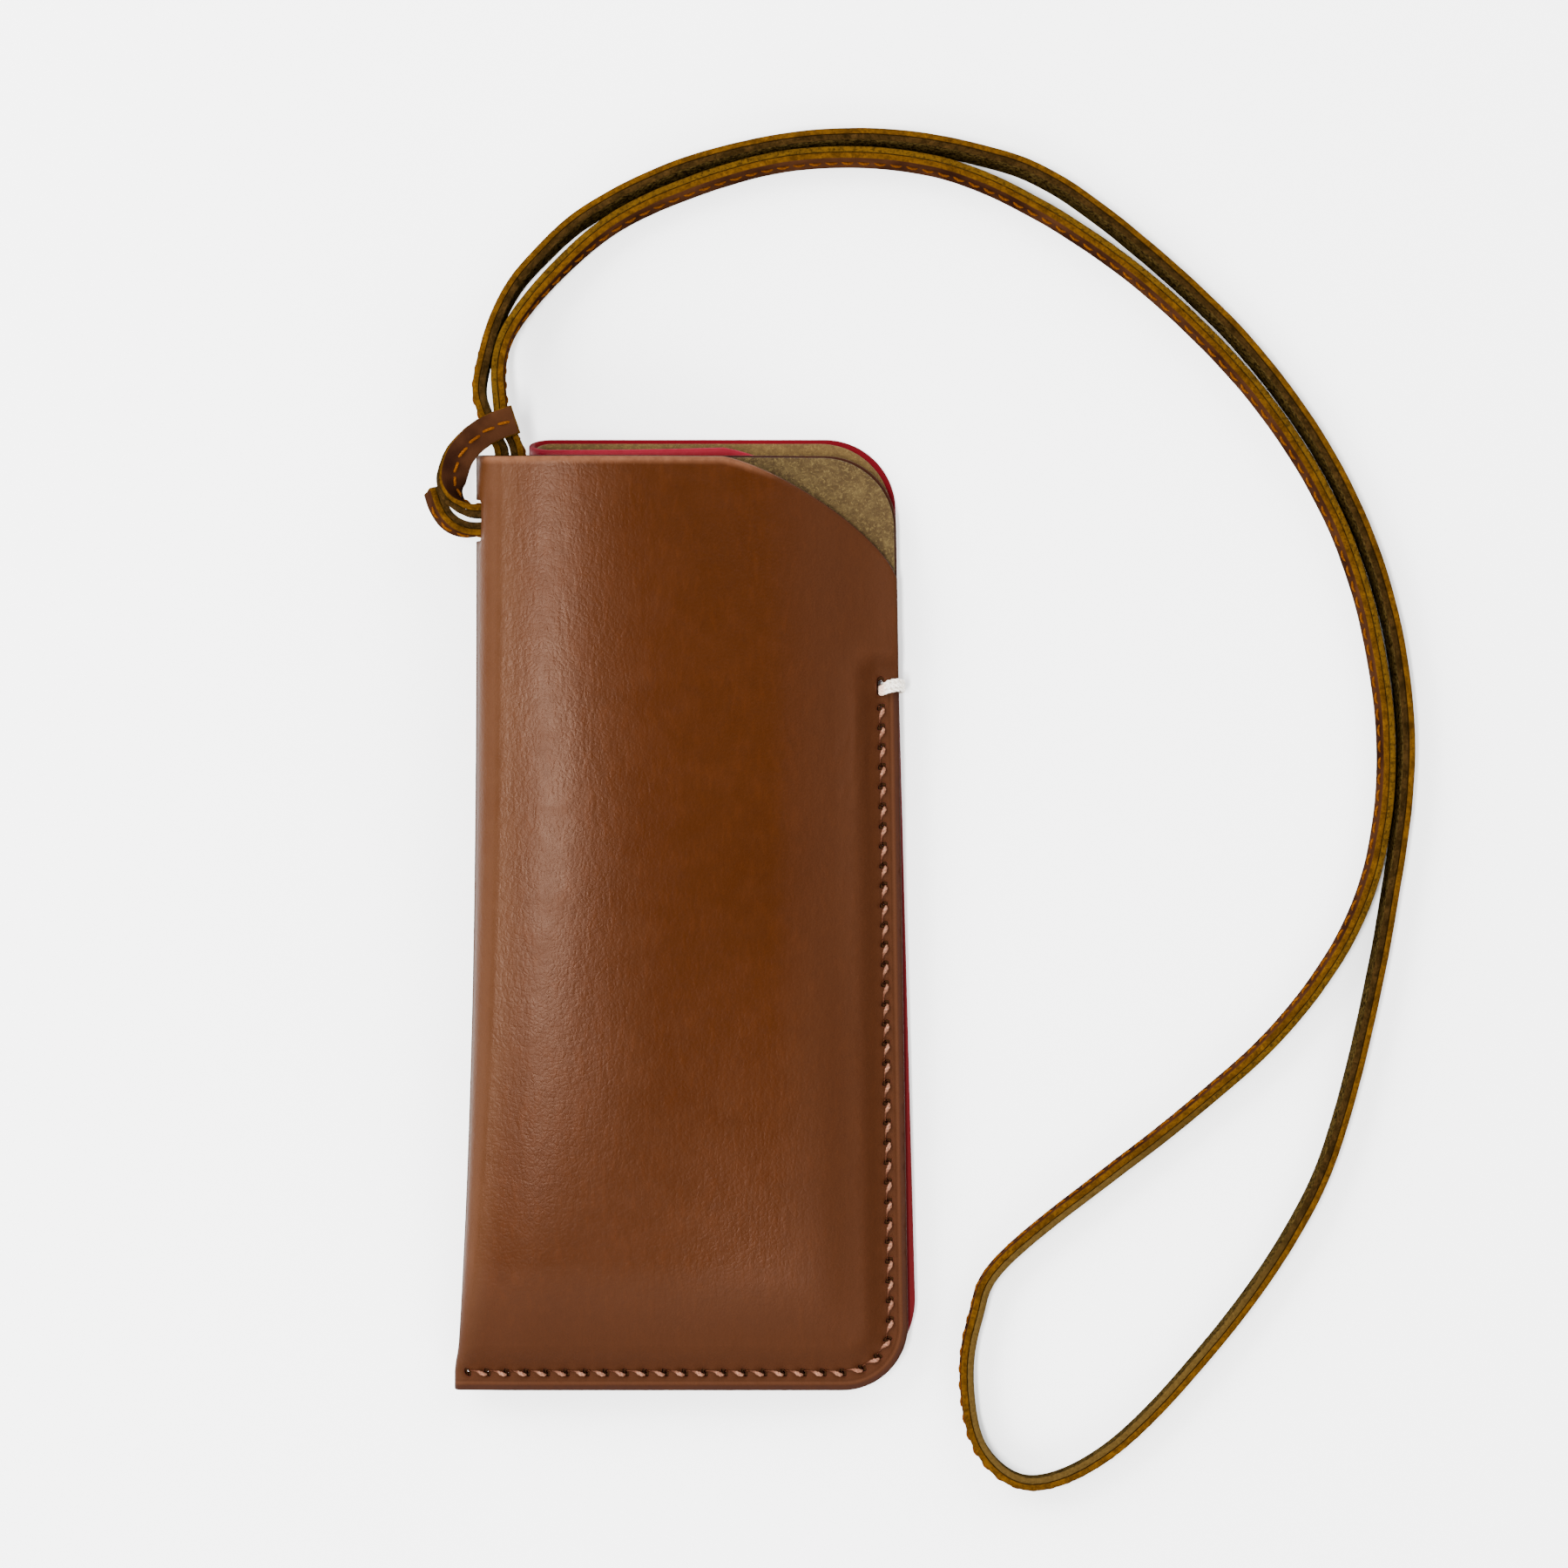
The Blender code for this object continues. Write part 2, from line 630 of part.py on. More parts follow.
def tube(name, points, diameter, material, bevel_resolution=0):
    """A thread or cord along straight runs between points, with filled ends."""
    curve = bpy.data.curves.new(name, "CURVE")
    curve.dimensions = "3D"
    curve.bevel_depth = diameter / 2
    curve.bevel_resolution = bevel_resolution
    curve.use_fill_caps = True
    spline = curve.splines.new("POLY")
    spline.points.add(len(points) - 1)
    for spot, point in zip(spline.points, points, strict=True):
        spot.co = (*point, 1.0)
    curve.materials.append(material)
    obj = bpy.data.objects.new(name, curve)
    bpy.context.scene.collection.objects.link(obj)
    return obj


def bar_tack(name, material):
    """Turns of heavy thread up through the tack's slot and down round the sewn edge."""
    edge = float(sewn_edge_x(TACK_Y))
    reach = LAYER_GAP + TACK_THREAD_D / 2
    hole_x, outer_x, bend = edge - STITCH_INSET, edge + reach, TACK_THREAD_D / 2
    high = float(FRONT.topside(edge, TACK_Y)) + reach
    low = float(table_side(edge, TACK_Y)) - reach
    turn = [(hole_x, low + bend), (hole_x, high - bend), (hole_x + bend, high), (outer_x - bend, high),
            (outer_x, high - bend), (outer_x, low + bend), (outer_x - bend, low), (hole_x + bend, low)]
    first_y = TACK_Y + TACK_PITCH * (TACK_TURNS - 1) / 2
    points = []
    for i in range(len(turn) * TACK_TURNS):
        x, z = turn[i % len(turn)]
        points.append((x, first_y - TACK_PITCH * (i - 0.5) / len(turn), z))
    return tube(name, points, TACK_THREAD_D, material, 1)


def spline_through(route, count):
    """A smooth curve through a route's points, read closer together where it bends more."""
    route = np.array(route, float)
    padded = np.concatenate([[2 * route[0] - route[1]], route, [2 * route[-1] - route[-2]]])
    fine = []
    for a, b, c, d in zip(padded, padded[1:], padded[2:], padded[3:], strict=False):
        for t in np.arange(SPLINE_STEPS) / SPLINE_STEPS:
            fine.append(0.5 * (2 * b + (c - a) * t + (2 * a - 5 * b + 4 * c - d) * t**2
                               + (3 * b - a - 3 * c + d) * t**3))
    fine = np.array(fine + [route[-1]])
    steps = np.diff(fine[:, :3], axis=0)
    lengths = np.linalg.norm(steps, axis=1)
    ahead = steps / lengths[:, None]
    bend = np.linalg.norm(np.gradient(ahead, axis=0), axis=1) / lengths
    weights = np.concatenate([[0], np.cumsum(np.sqrt(bend + STRAIGHTEST_BEND) * lengths)])
    at = np.linspace(0, weights[-1], count)
    return np.stack([np.interp(at, weights, fine[:, k]) for k in range(fine.shape[1])], axis=1)


def shares(line):
    """How far along a line each of its points lies, 0 to 1."""
    lengths = np.concatenate([[0], np.cumsum(np.linalg.norm(np.diff(line, axis=0), axis=1))])
    return lengths / lengths[-1]


def strap_thickness():
    return 2 * PLY + PLY_GAP


def loop_line():
    """The loop's middle line and lean: on edge on the surface, with its top tipped outwards."""
    line = spline_through(LOOP_ROUTE, LOOP_POINTS)
    share = shares(line)
    ends = smooth(share * LEAN_FADE) * smooth((1 - share) * LEAN_FADE)
    lean = -STRAP_LEAN * np.cos(math.pi * share) * ends
    lying = STRAP_WIDTH / 2 * np.cos(lean) + strap_thickness() / 2 * np.abs(np.sin(lean))
    line[:, 2] += lying + LAYER_GAP / 2
    return line, lean


def tail_line(route, loop_end, loop_next):
    """A tail's middle line and lean, led on to just short of the loop's end, in the loop's direction."""
    back = (loop_end - loop_next) / np.linalg.norm(loop_end - loop_next)
    meeting = [(*(loop_end + back * away), 0.0) for away in (TAIL_LEAD, LAYER_GAP)]
    near_end = math.dist(route[-1][:3], loop_end) < math.dist(route[0][:3], loop_end)
    whole = list(route) + meeting if near_end else meeting[::-1] + list(route)
    line = spline_through(whole, TAIL_POINTS)
    return line[:, :3], np.radians(line[:, 3])


def band(name, line, lean, off_middle, thickness, width, material):
    """A flat band along a line, off_middle towards the strap's grain side."""
    ahead = np.gradient(line, axis=0)
    ahead /= np.linalg.norm(ahead, axis=1)[:, None]
    left = np.stack([-ahead[:, 1], ahead[:, 0], 0 * ahead[:, 0]], axis=1)
    left /= np.linalg.norm(left, axis=1)[:, None]
    up = np.cross(ahead, left)
    c, s = np.cos(lean)[:, None], np.sin(lean)[:, None]
    grain, wide = left * c + up * s, up * c - left * s
    corners = [(off_middle + thickness / 2 * a, width / 2 * b) for a, b in ((1, 1), (-1, 1), (-1, -1), (1, -1))]
    rings = np.stack([line + grain * a + wide * b for a, b in corners], axis=1)
    count = len(line)
    faces = [(3, 2, 1, 0), tuple(4 * (count - 1) + i for i in range(4))]
    for first in range(0, 4 * (count - 1), 4):
        for a, b in ((0, 1), (1, 2), (2, 3)):
            faces += [(first + a, first + b, first + b + 4), (first + a, first + b + 4, first + a + 4)]
        faces += [(first + 3, first, first + 7), (first, first + 4, first + 7)]
    return new_object(name, rings.reshape(-1, 3), faces, material)


def lanyard_stretch(name, line, lean, materials):
    """The two plies of a stretch of lanyard and the thread on its grain side."""
    ply_off = (PLY + PLY_GAP) / 2
    band(name + "_grain_ply", line, lean, ply_off, PLY, STRAP_WIDTH, materials["grain"])
    band(name + "_backing_ply", line, lean, -ply_off, PLY, STRAP_WIDTH, materials["backing"])
    thread_off = strap_thickness() / 2 + LAYER_GAP / 2 + STRAP_THREAD_T / 2
    band(name + "_thread", line, lean, thread_off, STRAP_THREAD_T, STRAP_THREAD_W, materials["thread"])


def material(name, colour, roughness):
    made = bpy.data.materials.new(name)
    made.use_nodes = True
    shader = made.node_tree.nodes["Principled BSDF"]
    shader.inputs["Base Color"].default_value = (*colour, 1.0)
    shader.inputs["Roughness"].default_value = roughness
    shader.inputs["Metallic"].default_value = 0.0
    return made


def build():
    brown = material("brown_saddle_leather", (0.145, 0.043, 0.012), 0.42)
    suede = material("tan_suede", (0.24, 0.145, 0.055), 0.95)
    rear_suede = material("rear_tan_suede", (0.22, 0.135, 0.055), 0.95)
    red = material("red_leather", (0.42, 0.008, 0.022), 0.4)
    seam = material("tan_waxed_thread", (0.43, 0.2, 0.13), 0.6)
    seam_below = material("tan_waxed_thread_below", (0.4, 0.18, 0.12), 0.6)
    white = material("white_tack_thread", (0.85, 0.83, 0.78), 0.7)
    strap = {
        "grain": material("lanyard_grain_leather", (0.085, 0.036, 0.014), 0.45),
        "backing": material("lanyard_split_leather", (0.25, 0.12, 0.018), 0.85),
        "thread": material("lanyard_thread", (0.31, 0.085, 0.012), 0.6),
    }
    lined_pocket("rear_pocket", REAR, [], red, rear_suede)
    lined_pocket("front_pocket", FRONT, [lanyard_slot()], brown, suede)
    saddle_thread("seam_thread_front", True, seam)
    saddle_thread("seam_thread_back", False, seam_below)
    bar_tack("bar_tack_thread", white)
    line, lean = loop_line()
    lanyard_stretch("lanyard_loop", line, lean, strap)
    lanyard_stretch("lanyard_upper_tail", *tail_line(UPPER_TAIL_ROUTE, line[0], line[1]), strap)
    lanyard_stretch("lanyard_lower_tail", *tail_line(LOWER_TAIL_ROUTE, line[-1], line[-2]), strap)


for old in list(bpy.data.objects):
    bpy.data.objects.remove(old, do_unlink=True)
build()
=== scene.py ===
"""How the sunglasses pouch looks: leather, suede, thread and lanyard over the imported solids."""

import math
from dataclasses import dataclass
from typing import Callable

import bpy
import numpy as np
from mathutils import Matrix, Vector, noise
from mathutils.geometry import delaunay_2d_cdt
from mathutils.kdtree import KDTree


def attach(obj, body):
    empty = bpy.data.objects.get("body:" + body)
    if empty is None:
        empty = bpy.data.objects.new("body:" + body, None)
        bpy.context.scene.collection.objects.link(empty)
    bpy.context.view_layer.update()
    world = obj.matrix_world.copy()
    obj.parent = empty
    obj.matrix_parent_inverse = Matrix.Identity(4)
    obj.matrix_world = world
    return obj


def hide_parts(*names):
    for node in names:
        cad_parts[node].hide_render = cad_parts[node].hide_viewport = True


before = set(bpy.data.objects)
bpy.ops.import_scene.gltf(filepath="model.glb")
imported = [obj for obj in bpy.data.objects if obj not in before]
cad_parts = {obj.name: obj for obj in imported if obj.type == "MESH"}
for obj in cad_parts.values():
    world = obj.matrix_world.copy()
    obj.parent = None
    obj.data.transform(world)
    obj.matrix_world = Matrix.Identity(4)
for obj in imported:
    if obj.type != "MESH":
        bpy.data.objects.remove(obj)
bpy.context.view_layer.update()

# Camera and picture
PICTURE_WIDTH = 1800 / 6300
PICTURE_CENTRE = (0.0181, 0.0238)
CAMERA_HEIGHT = 1.15
FOCUS_HEIGHT = 0.006
SENSOR = 36.0

# The pouch's form, as in its solids
FRONT_HEIGHT = 0.1703
BOTTOM_Y = -0.0867
SEWN_EDGE_AT_MOUTH = 0.0384
SEWN_EDGE_AT_BOTTOM = 0.0409
FRONT_WIDTH = 0.0841
FRONT_FOLD_X = SEWN_EDGE_AT_BOTTOM - FRONT_WIDTH
BOTTOM_CORNER_R = 0.0120
MOUTH_CORNER_R = 0.0130
SCOOP_WIDTH = 0.0319
SCOOP_DEPTH = 0.0224
SCOOP_POWER = 1.35
REAR_RISE = 0.0032
REAR_BOTTOM_STEP = 0.0010
REAR_FOLD_X = FRONT_FOLD_X + 0.0107
REAR_CORNER_R = 0.0155
REAR_FLARE = 0.0014
REAR_FLARE_START = 0.0238
REAR_FLARE_RUN = 0.0790
LEATHER = 0.0011
LINING = 0.0003
FRONT_MOUTH_TRIM = 0.0004
REAR_MOUTH_TRIM = 0.0008
GLUE_GAP = 0.00015
LAYER_GAP = 0.0003
FRONT_GAPE = 0.0082
REAR_GAPE = 0.0050
FOLD_SLACK = 0.97
DOME_FALL = 2.2
DOME_ROUND = 1.6
FRONT_DRAW_IN = 0.0007
REAR_DRAW_IN = 0.0022
FOLD_SAG = 0.0008
STITCH_INSET = 0.0033
STITCH_PITCH = 0.0036
STITCH_START_Y = 0.0378
STITCH_END_X = -0.0395
THREAD_D = 0.00055
SLIT_LENGTH = 0.0022
SLIT_SLANT = math.radians(-55)
PRESSED_WIDTH = 0.0006
RELIEF_RUN = 0.0045
EDGE_LIFT = 0.00125
EDGE_LIFT_RUN = 0.0090
LINING_MARGIN = STITCH_INSET + PRESSED_WIDTH + RELIEF_RUN
TACK_Y = 0.0416
TACK_TURNS = 3
TACK_THREAD_D = 0.00075
TACK_PITCH = 0.0011
TACK_SLOT_WIDTH = 0.00135
STRAP_WIDTH = 0.0052
PLY = 0.0011
PLY_GAP = 0.0002
STRAP_LEAN = math.radians(17)
LEAN_FADE = 12
TAIL_LEAD = 0.0022
SLOT_BELOW_MOUTH = 0.01185
SLOT_WIDTH = 0.0074
SLOT_LENGTH = 0.0086
SLOT_TOWARDS_BACK = 0.0010
SLOT_CORNER = 0.0008

# How finely the looks are cut
ARC_STEPS = 14
CORNER_STEPS = 22
SCOOP_STEPS = 50
EDGE_STEP = 0.0012
GRID_STEP = 0.0017
SLIT_POINTS = 14
CLOSED_SLIT_LENGTH = 0.0017
CLOSED_SLIT_WIDTH = 0.00105
HIDDEN_OPENING = 0.35
FULLNESS = 0.0009
THREAD_ALONG_SLIT = 0.0002
THREAD_APART = 0.0003
STITCH_SIDES = 8
# Each stitch: share along, lift, sideways, width and tone; tone falls from 1 where the thread rises to 0
# where it sinks, painted shade mixed with soiling
STITCH_FORM = [
    (0.06, 0.00022, -0.00012, 0.95, 1.0), (0.16, 0.00042, -0.00014, 1.4, 1.0),
    (0.28, 0.00044, -0.00002, 1.45, 1.0), (0.41, 0.00028, 0.00012, 1.15, 0.8),
    (0.54, 0.00008, 0.00020, 0.65, 0.2), (0.82, 0.0, 0.00012, 0.45, 0.0),
]
TACK_LOOK_D = 0.00098
TACK_LOOK_PITCH = 0.00074
RIM_ANGLES = (25, 50, 75, 105, 130, 155)
EDGE_ROUNDING = 0.00032
HOLE_ROUNDING = 0.00014
LINING_ROUNDING = 0.0001
SEAM_CORNER_STEPS = 24
SPREAD_CELL = 0.002
CLOSE_SPACING = 0.00035
MOUTH_RINGS = (0.0006, 0.0010, 0.0015, 0.0021)
SEAM_RINGS = (0.0006, 0.0009, 0.0012, 0.0015, 0.0019, 0.0023, 0.0027, 0.0033, 0.0039, 0.0044, 0.0050,
              0.0058, 0.0068, 0.0080)
SEAM_RINGS_TOP_Y = 0.058
RIM_REACH = 0.002
OFF_EDGE_MM = (-3, 24)
DULL_AND_SHADED_WITHIN_MM = 10
CREASE = (-0.00010, 0.00142, 0.00022)
CHANNEL = (-0.00022, STITCH_INSET, 0.00080)
WELT = (0.00006, 0.0021, 0.0005)
PUCKER_DEPTH = 0.00009
PUCKER_WIDTH = 0.0016
WRINKLE_HEIGHT = 0.00007
WRINKLE_WIDTH = 0.00045
SLOW_WAVE = 0.00022
PLY_ROUNDING = 0.00028
PLY_ANGLES = (25, 50, 75)
LANYARD_STITCH_PITCH = 0.0030
LANYARD_STITCH_POINTS = 9
LOOP_STEP = 0.0009
TAIL_STEP = 0.0005
TAIL_MEETING = 9
FLOOR_SIZE = 1.6
LIGHTS = (
    ("key", (-0.98, 0.86, 0.76), (0.0, 0.0, 0.0), 1.3, 1.3, 84),
    ("right", (0.84, 1.0, 0.7), (0.05, 0.0, 0.0), 1.3, 1.3, 46),
    ("low", (0.4, -1.25, 0.72), (0.02, 0.0, 0.0), 1.3, 1.3, 48),
    ("low_left", (-1.2, -0.57, 0.72), (0.0, 0.0, 0.0), 1.3, 1.3, 46),
    ("strip", (-0.22, -0.1, 1.6), (-0.22, -0.1, 0.0), 0.16, 0.6, 66),
)


def in_metres(*points):
    """Points typed in millimetres, with an angle after them where they have one."""
    return [(*(v / 1000 for v in point[:3]), *point[3:]) for point in points]


LOOP_ROUTE = in_metres(
    (-33.9, 86.2, 10.2), (-35.9, 90.6, 9.3), (-37.1, 96.5, 7.2), (-33.8, 109.5, 2.2), (-27.5, 119, 0.6),
    (-16, 128.8, 0), (3.3, 137.3, 0), (27, 141.6, 0), (50.5, 139.5, 0), (71.7, 130.8, 0),
    (103.3, 102.7, 0), (123.3, 71, 0), (131.5, 36, 0), (128.3, 0.5, 0), (119.1, -39.8, 0),
    (108.7, -61.7, 0), (92.5, -83.1, 0), (77.1, -98.3, 0), (63.4, -104, 0), (54.4, -98.2, 0),
    (51.5, -86, 0), (53.1, -73.5, 0), (59.5, -61.9, 0), (91.7, -36.5, 0), (110.2, -19.4, 0),
    (122.8, 0, 0), (127.8, 21, 0), (126.8, 44.3, 0), (120, 69.2, 0), (106.6, 92.2, 0), (87.1, 112.9, 0),
    (65.6, 128.2, 0), (45, 136.8, 0), (21.8, 138, 0), (1, 132.8, 0), (-16.5, 123.7, 0.3),
    (-32.1, 106.2, 3.2), (-33.3, 92, 8.8), (-30.9, 86.2, 10.2),
)
UPPER_TAIL_ROUTE = in_metres(
    (-30.3, 89.6, 17.3, 89), (-33.5, 88.5, 17.5, 88), (-36.1, 87.2, 17.7, 86), (-38.4, 85.4, 17.8, 84),
    (-40.4, 83.1, 17.3, 78), (-41.5, 80.7, 16.1, 68), (-42, 78.7, 15, 53), (-41.9, 76.7, 14.3, 30),
    (-41.1, 75, 13.7, 9), (-39.9, 73.8, 13.4, 2), (-38.2, 73.2, 13.3, 0), (-36, 73.2, 13.3, 0),
    (-34.3, 73.6, 13.4, 0), (-33.2, 75.1, 13.4, 0), (-32.9, 78.5, 13.4, 0), (-32.9, 81.5, 13.4, 0),
)
LOWER_TAIL_ROUTE = in_metres(
    (-29.9, 81.5, 13.4, 0), (-29.9, 77.5, 13.4, 0), (-30.3, 74.2, 13.4, 0), (-31.7, 71.7, 13.4, 0),
    (-33.8, 70.3, 13.3, 0), (-36, 70, 13.3, 0), (-37.8, 69.9, 13.2, 1), (-39.6, 70, 13, 7),
    (-41.5, 70.6, 12.6, 13), (-43.1, 71.8, 12.2, 16), (-44.2, 73.4, 11.8, 17), (-45, 75.2, 11.3, 18),
    (-45.6, 77.1, 11, 18),
)


def linked(name, data):
    made = bpy.data.objects.new(name, data)
    bpy.context.scene.collection.objects.link(made)
    return made


def camera():
    data = bpy.data.cameras.new("camera")
    data.sensor_width = SENSOR
    data.lens = SENSOR * (CAMERA_HEIGHT - FOCUS_HEIGHT) / PICTURE_WIDTH
    data.clip_start = 0.05
    data.clip_end = 10
    made = linked("camera", data)
    made.location = (*PICTURE_CENTRE, CAMERA_HEIGHT)
    bpy.context.scene.camera = made


def smooth(t):
    t = np.clip(t, 0.0, 1.0)
    return t * t * (3 - 2 * t)


def bump_at(value, centre, width):
    """A smooth bump of height 1 at a value, with the given half width."""
    return np.exp(-(((value - centre) / width) ** 2))


def sewn_edge_x(y):
    share = (y - BOTTOM_Y) / FRONT_HEIGHT
    return SEWN_EDGE_AT_BOTTOM + (SEWN_EDGE_AT_MOUTH - SEWN_EDGE_AT_BOTTOM) * share


def inset(x, y):
    """How far inside the front pocket's sewn outline a point lies."""
    side = sewn_edge_x(y) - x
    below = y - BOTTOM_Y
    across = BOTTOM_CORNER_R - side
    along = BOTTOM_CORNER_R - below
    round_corner = BOTTOM_CORNER_R - np.hypot(across, along)
    return np.where((across > 0) & (along > 0), round_corner, np.minimum(side, below))


def tack_length():
    return TACK_PITCH * (TACK_TURNS - 1) + TACK_THREAD_D + 2 * LAYER_GAP


def from_seam(x, y):
    inwards = np.maximum(inset(x, y) - STITCH_INSET, 0.0)
    above = np.maximum(y - TACK_Y - tack_length() / 2, 0.0)
    return np.hypot(inwards, above)


def relief(x, y):
    return 2 * (LINING + GLUE_GAP) * smooth((from_seam(x, y) - PRESSED_WIDTH) / RELIEF_RUN)


def table_side(x, y):
    return EDGE_LIFT * (1 - smooth(from_seam(x, y) / EDGE_LIFT_RUN))


@dataclass(eq=False)
class Pocket:
    """A folded sheet: a back leaf, a round fold and a front leaf that arches up from the seam."""

    fold_x: float
    bottom_y: float
    top_y: float
    gape: float
    corner_r: float
    flare: float
    draw_in: float
    mouth_trim: float
    underside: Callable

    def across(self, x, y):
        """0 at the crown of the fold and 1 at the stitches."""
        crown = self.crown_x(y)
        return np.clip((x - crown) / (sewn_edge_x(y) - STITCH_INSET - crown), 0.0, 1.0)

    def edge_x(self, y):
        return sewn_edge_x(y) + self.flare * smooth((REAR_FLARE_START - y) / REAR_FLARE_RUN)

    def fold_height(self, y):
        height = (y - BOTTOM_Y - STITCH_INSET) / (self.top_y - BOTTOM_Y - STITCH_INSET)
        opened = 1 - (1 - np.clip(height, 0.0, 1.0)) ** 3
        spare = relief(self.fold_x + 0 * y, y)
        return 2 * LEATHER + LAYER_GAP + spare + self.gape * opened

    def crown_x(self, y):
        return self.fold_x + (1 + FOLD_SLACK) * self.fold_height(y) / 2

    def topside(self, x, y):
        arch = (1 - self.across(x, y) ** DOME_FALL) ** DOME_ROUND
        closed = 2 * LEATHER + LAYER_GAP + relief(x, y)
        gape = self.fold_height(y) - 2 * LEATHER - LAYER_GAP - relief(self.fold_x + 0 * y, y)
        return self.underside(x, y) + closed + gape * arch

    def arc(self, y):
        return math.pi / 4 * self.fold_height(y)

    def stretch(self, y):
        return (self.edge_x(y) - self.fold_x - self.arc(y)) / (self.edge_x(y) - self.crown_x(y))

    def flat(self, x, y):
        return self.arc(y) + (x - self.crown_x(y)) * self.stretch(y)

    def leaf_x(self, s, y):
        """Where a point of the flat pattern lies across the leaf."""
        return self.crown_x(y) + (np.abs(s) - self.arc(y)) / self.stretch(y)

    def place(self, s, y, depth):
        """Folds points of the flat pattern: s is positive on the front leaf and depth is inwards."""
        arc, crown, radius = self.arc(y), self.crown_x(y), self.fold_height(y) / 2
        x_leaf = self.leaf_x(s, y)
        turn = np.clip(s / arc, -1.0, 1.0) * math.pi / 2
        in_fold = np.abs(s) < arc
        x = np.where(in_fold, crown - (radius - depth) * np.cos(turn), x_leaf)
        z_fold = self.underside(crown, y) + radius + (radius - depth) * np.sin(turn)
        z_leaf = np.where(s > 0, self.topside(x_leaf, y) - depth, self.underside(x_leaf, y) + depth)
        height = (y - self.bottom_y) / (self.top_y - self.bottom_y)
        slack = 1 - self.across(x_leaf, y) ** DOME_FALL
        drawn = self.draw_in * (1 + np.sin(turn)) / 2 * slack * height**2
        return np.stack([x, y - drawn, np.where(in_fold, z_fold, z_leaf)], axis=-1)


REAR = Pocket(
    REAR_FOLD_X, BOTTOM_Y + REAR_BOTTOM_STEP, BOTTOM_Y + FRONT_HEIGHT + REAR_RISE,
    REAR_GAPE, REAR_CORNER_R, REAR_FLARE, REAR_DRAW_IN, REAR_MOUTH_TRIM, table_side,
)


def on_the_rear_pocket(x, y):
    rear_crown = REAR.crown_x(y)
    front_crown = FRONT_FOLD_X + (rear_crown - REAR_FOLD_X)
    beyond = smooth((rear_crown - x) / (rear_crown - front_crown))
    return REAR.topside(np.maximum(x, rear_crown), y) + LAYER_GAP - FOLD_SAG * beyond


FRONT = Pocket(
    FRONT_FOLD_X, BOTTOM_Y, BOTTOM_Y + FRONT_HEIGHT,
    FRONT_GAPE, BOTTOM_CORNER_R, 0.0, FRONT_DRAW_IN, FRONT_MOUTH_TRIM, on_the_rear_pocket,
)


def turned(centre, radius, start, end, steps):
    angles = [math.radians(start + (end - start) * i / steps) for i in range(steps + 1)]
    return [(centre[0] + radius * math.cos(a), centre[1] + radius * math.sin(a)) for a in angles]


def scoop(pocket):
    low = pocket.top_y - SCOOP_DEPTH
    points = []
    for i in range(SCOOP_STEPS + 1):
        across = (1 - i / SCOOP_STEPS) ** 1.5
        up = (1 - across**SCOOP_POWER) ** (1 / SCOOP_POWER)
        points.append((pocket.edge_x(low) - SCOOP_WIDTH * (1 - across), low + SCOOP_DEPTH * up))
    return points


def mouth_corner(pocket):
    y = pocket.top_y - MOUTH_CORNER_R
    return turned((pocket.edge_x(y) - MOUTH_CORNER_R, y), MOUTH_CORNER_R, 0, 90, CORNER_STEPS)


def sewn_edges(pocket, margin):
    bottom = BOTTOM_Y + margin if margin else pocket.bottom_y
    edge = sewn_edge_x if margin else pocket.edge_x
    radius = (BOTTOM_CORNER_R if margin else pocket.corner_r) - margin
    centre = (edge(bottom + radius) - margin - radius, bottom + radius)
    corner = turned(centre, radius, -90, 0, CORNER_STEPS)
    return [(float(pocket.crown_x(bottom)), bottom)] + [(float(x), float(y)) for x, y in corner]


def lining_top():
    return TACK_Y + tack_length() / 2 + LINING_MARGIN - STITCH_INSET


def run(start, end, step):
    count = max(1, round(math.dist(start, end) / step))
    return [tuple(np.array(start) + (np.array(end) - start) * i / count) for i in range(1, count + 1)]


def flat_line(pocket, corners):
    line = corners[:1]
    for corner in corners[1:]:
        line += run(line[-1], corner, EDGE_STEP)
    x, y = np.array(line).T
    return list(zip(pocket.flat(x, y), y))


def across_fold(pocket, y):
    return [(float(pocket.arc(y)) * k / ARC_STEPS, y) for k in range(ARC_STEPS)]


def mirrored(line):
    return [(-s, y) for s, y in line]


def leaf_line(pocket, mouth_end, lined):
    """One leaf's cut line, or its lining's, from the bottom of the fold round to the top of it."""
    top = lining_top()
    trim = pocket.mouth_trim if lined else 0.0
    corners = sewn_edges(pocket, LINING_MARGIN if lined else 0.0)
    if lined:
        corners.append((float(sewn_edge_x(top)) - LINING_MARGIN, top))
    corners.append((float(pocket.edge_x(top)) - trim, top))
    corners += [(x - trim, y - trim) for x, y in mouth_end]
    corners.append((float(pocket.crown_x(pocket.top_y)), pocket.top_y - trim))
    line = across_fold(pocket, corners[0][1]) + flat_line(pocket, corners)
    return line + across_fold(pocket, pocket.top_y - trim)[::-1]


def flat_outline(pocket, lined):
    """The cut line of the leather, or of its lining, on the flat, anticlockwise."""
    front = leaf_line(pocket, scoop(pocket), lined)
    back = leaf_line(pocket, mouth_corner(pocket), lined)
    return front + mirrored(back[-2:0:-1])


def inner_corner(cut_in):
    """The bottom corner of a line that far inside the sewn outline: its radius, lowest y and centre."""
    radius = BOTTOM_CORNER_R - cut_in
    low = BOTTOM_Y + cut_in
    return radius, low, (sewn_edge_x(low + radius) - cut_in - radius, low + radius)


def stitch_line():
    radius, low, centre = inner_corner(STITCH_INSET)
    side_top = (sewn_edge_x(STITCH_START_Y) - STITCH_INSET, STITCH_START_Y)
    corner = turned(centre, radius, 0, -90, SEAM_CORNER_STEPS)
    return np.array([side_top, *corner, (STITCH_END_X, low)])


def lengths_along(line):
    """How far along the line each of its points lies."""
    return np.concatenate([[0], np.cumsum(np.linalg.norm(np.diff(line, axis=0), axis=1))])


def sampled(line, lengths, at):
    return np.stack([np.interp(at, lengths, values) for values in line.T], axis=1)


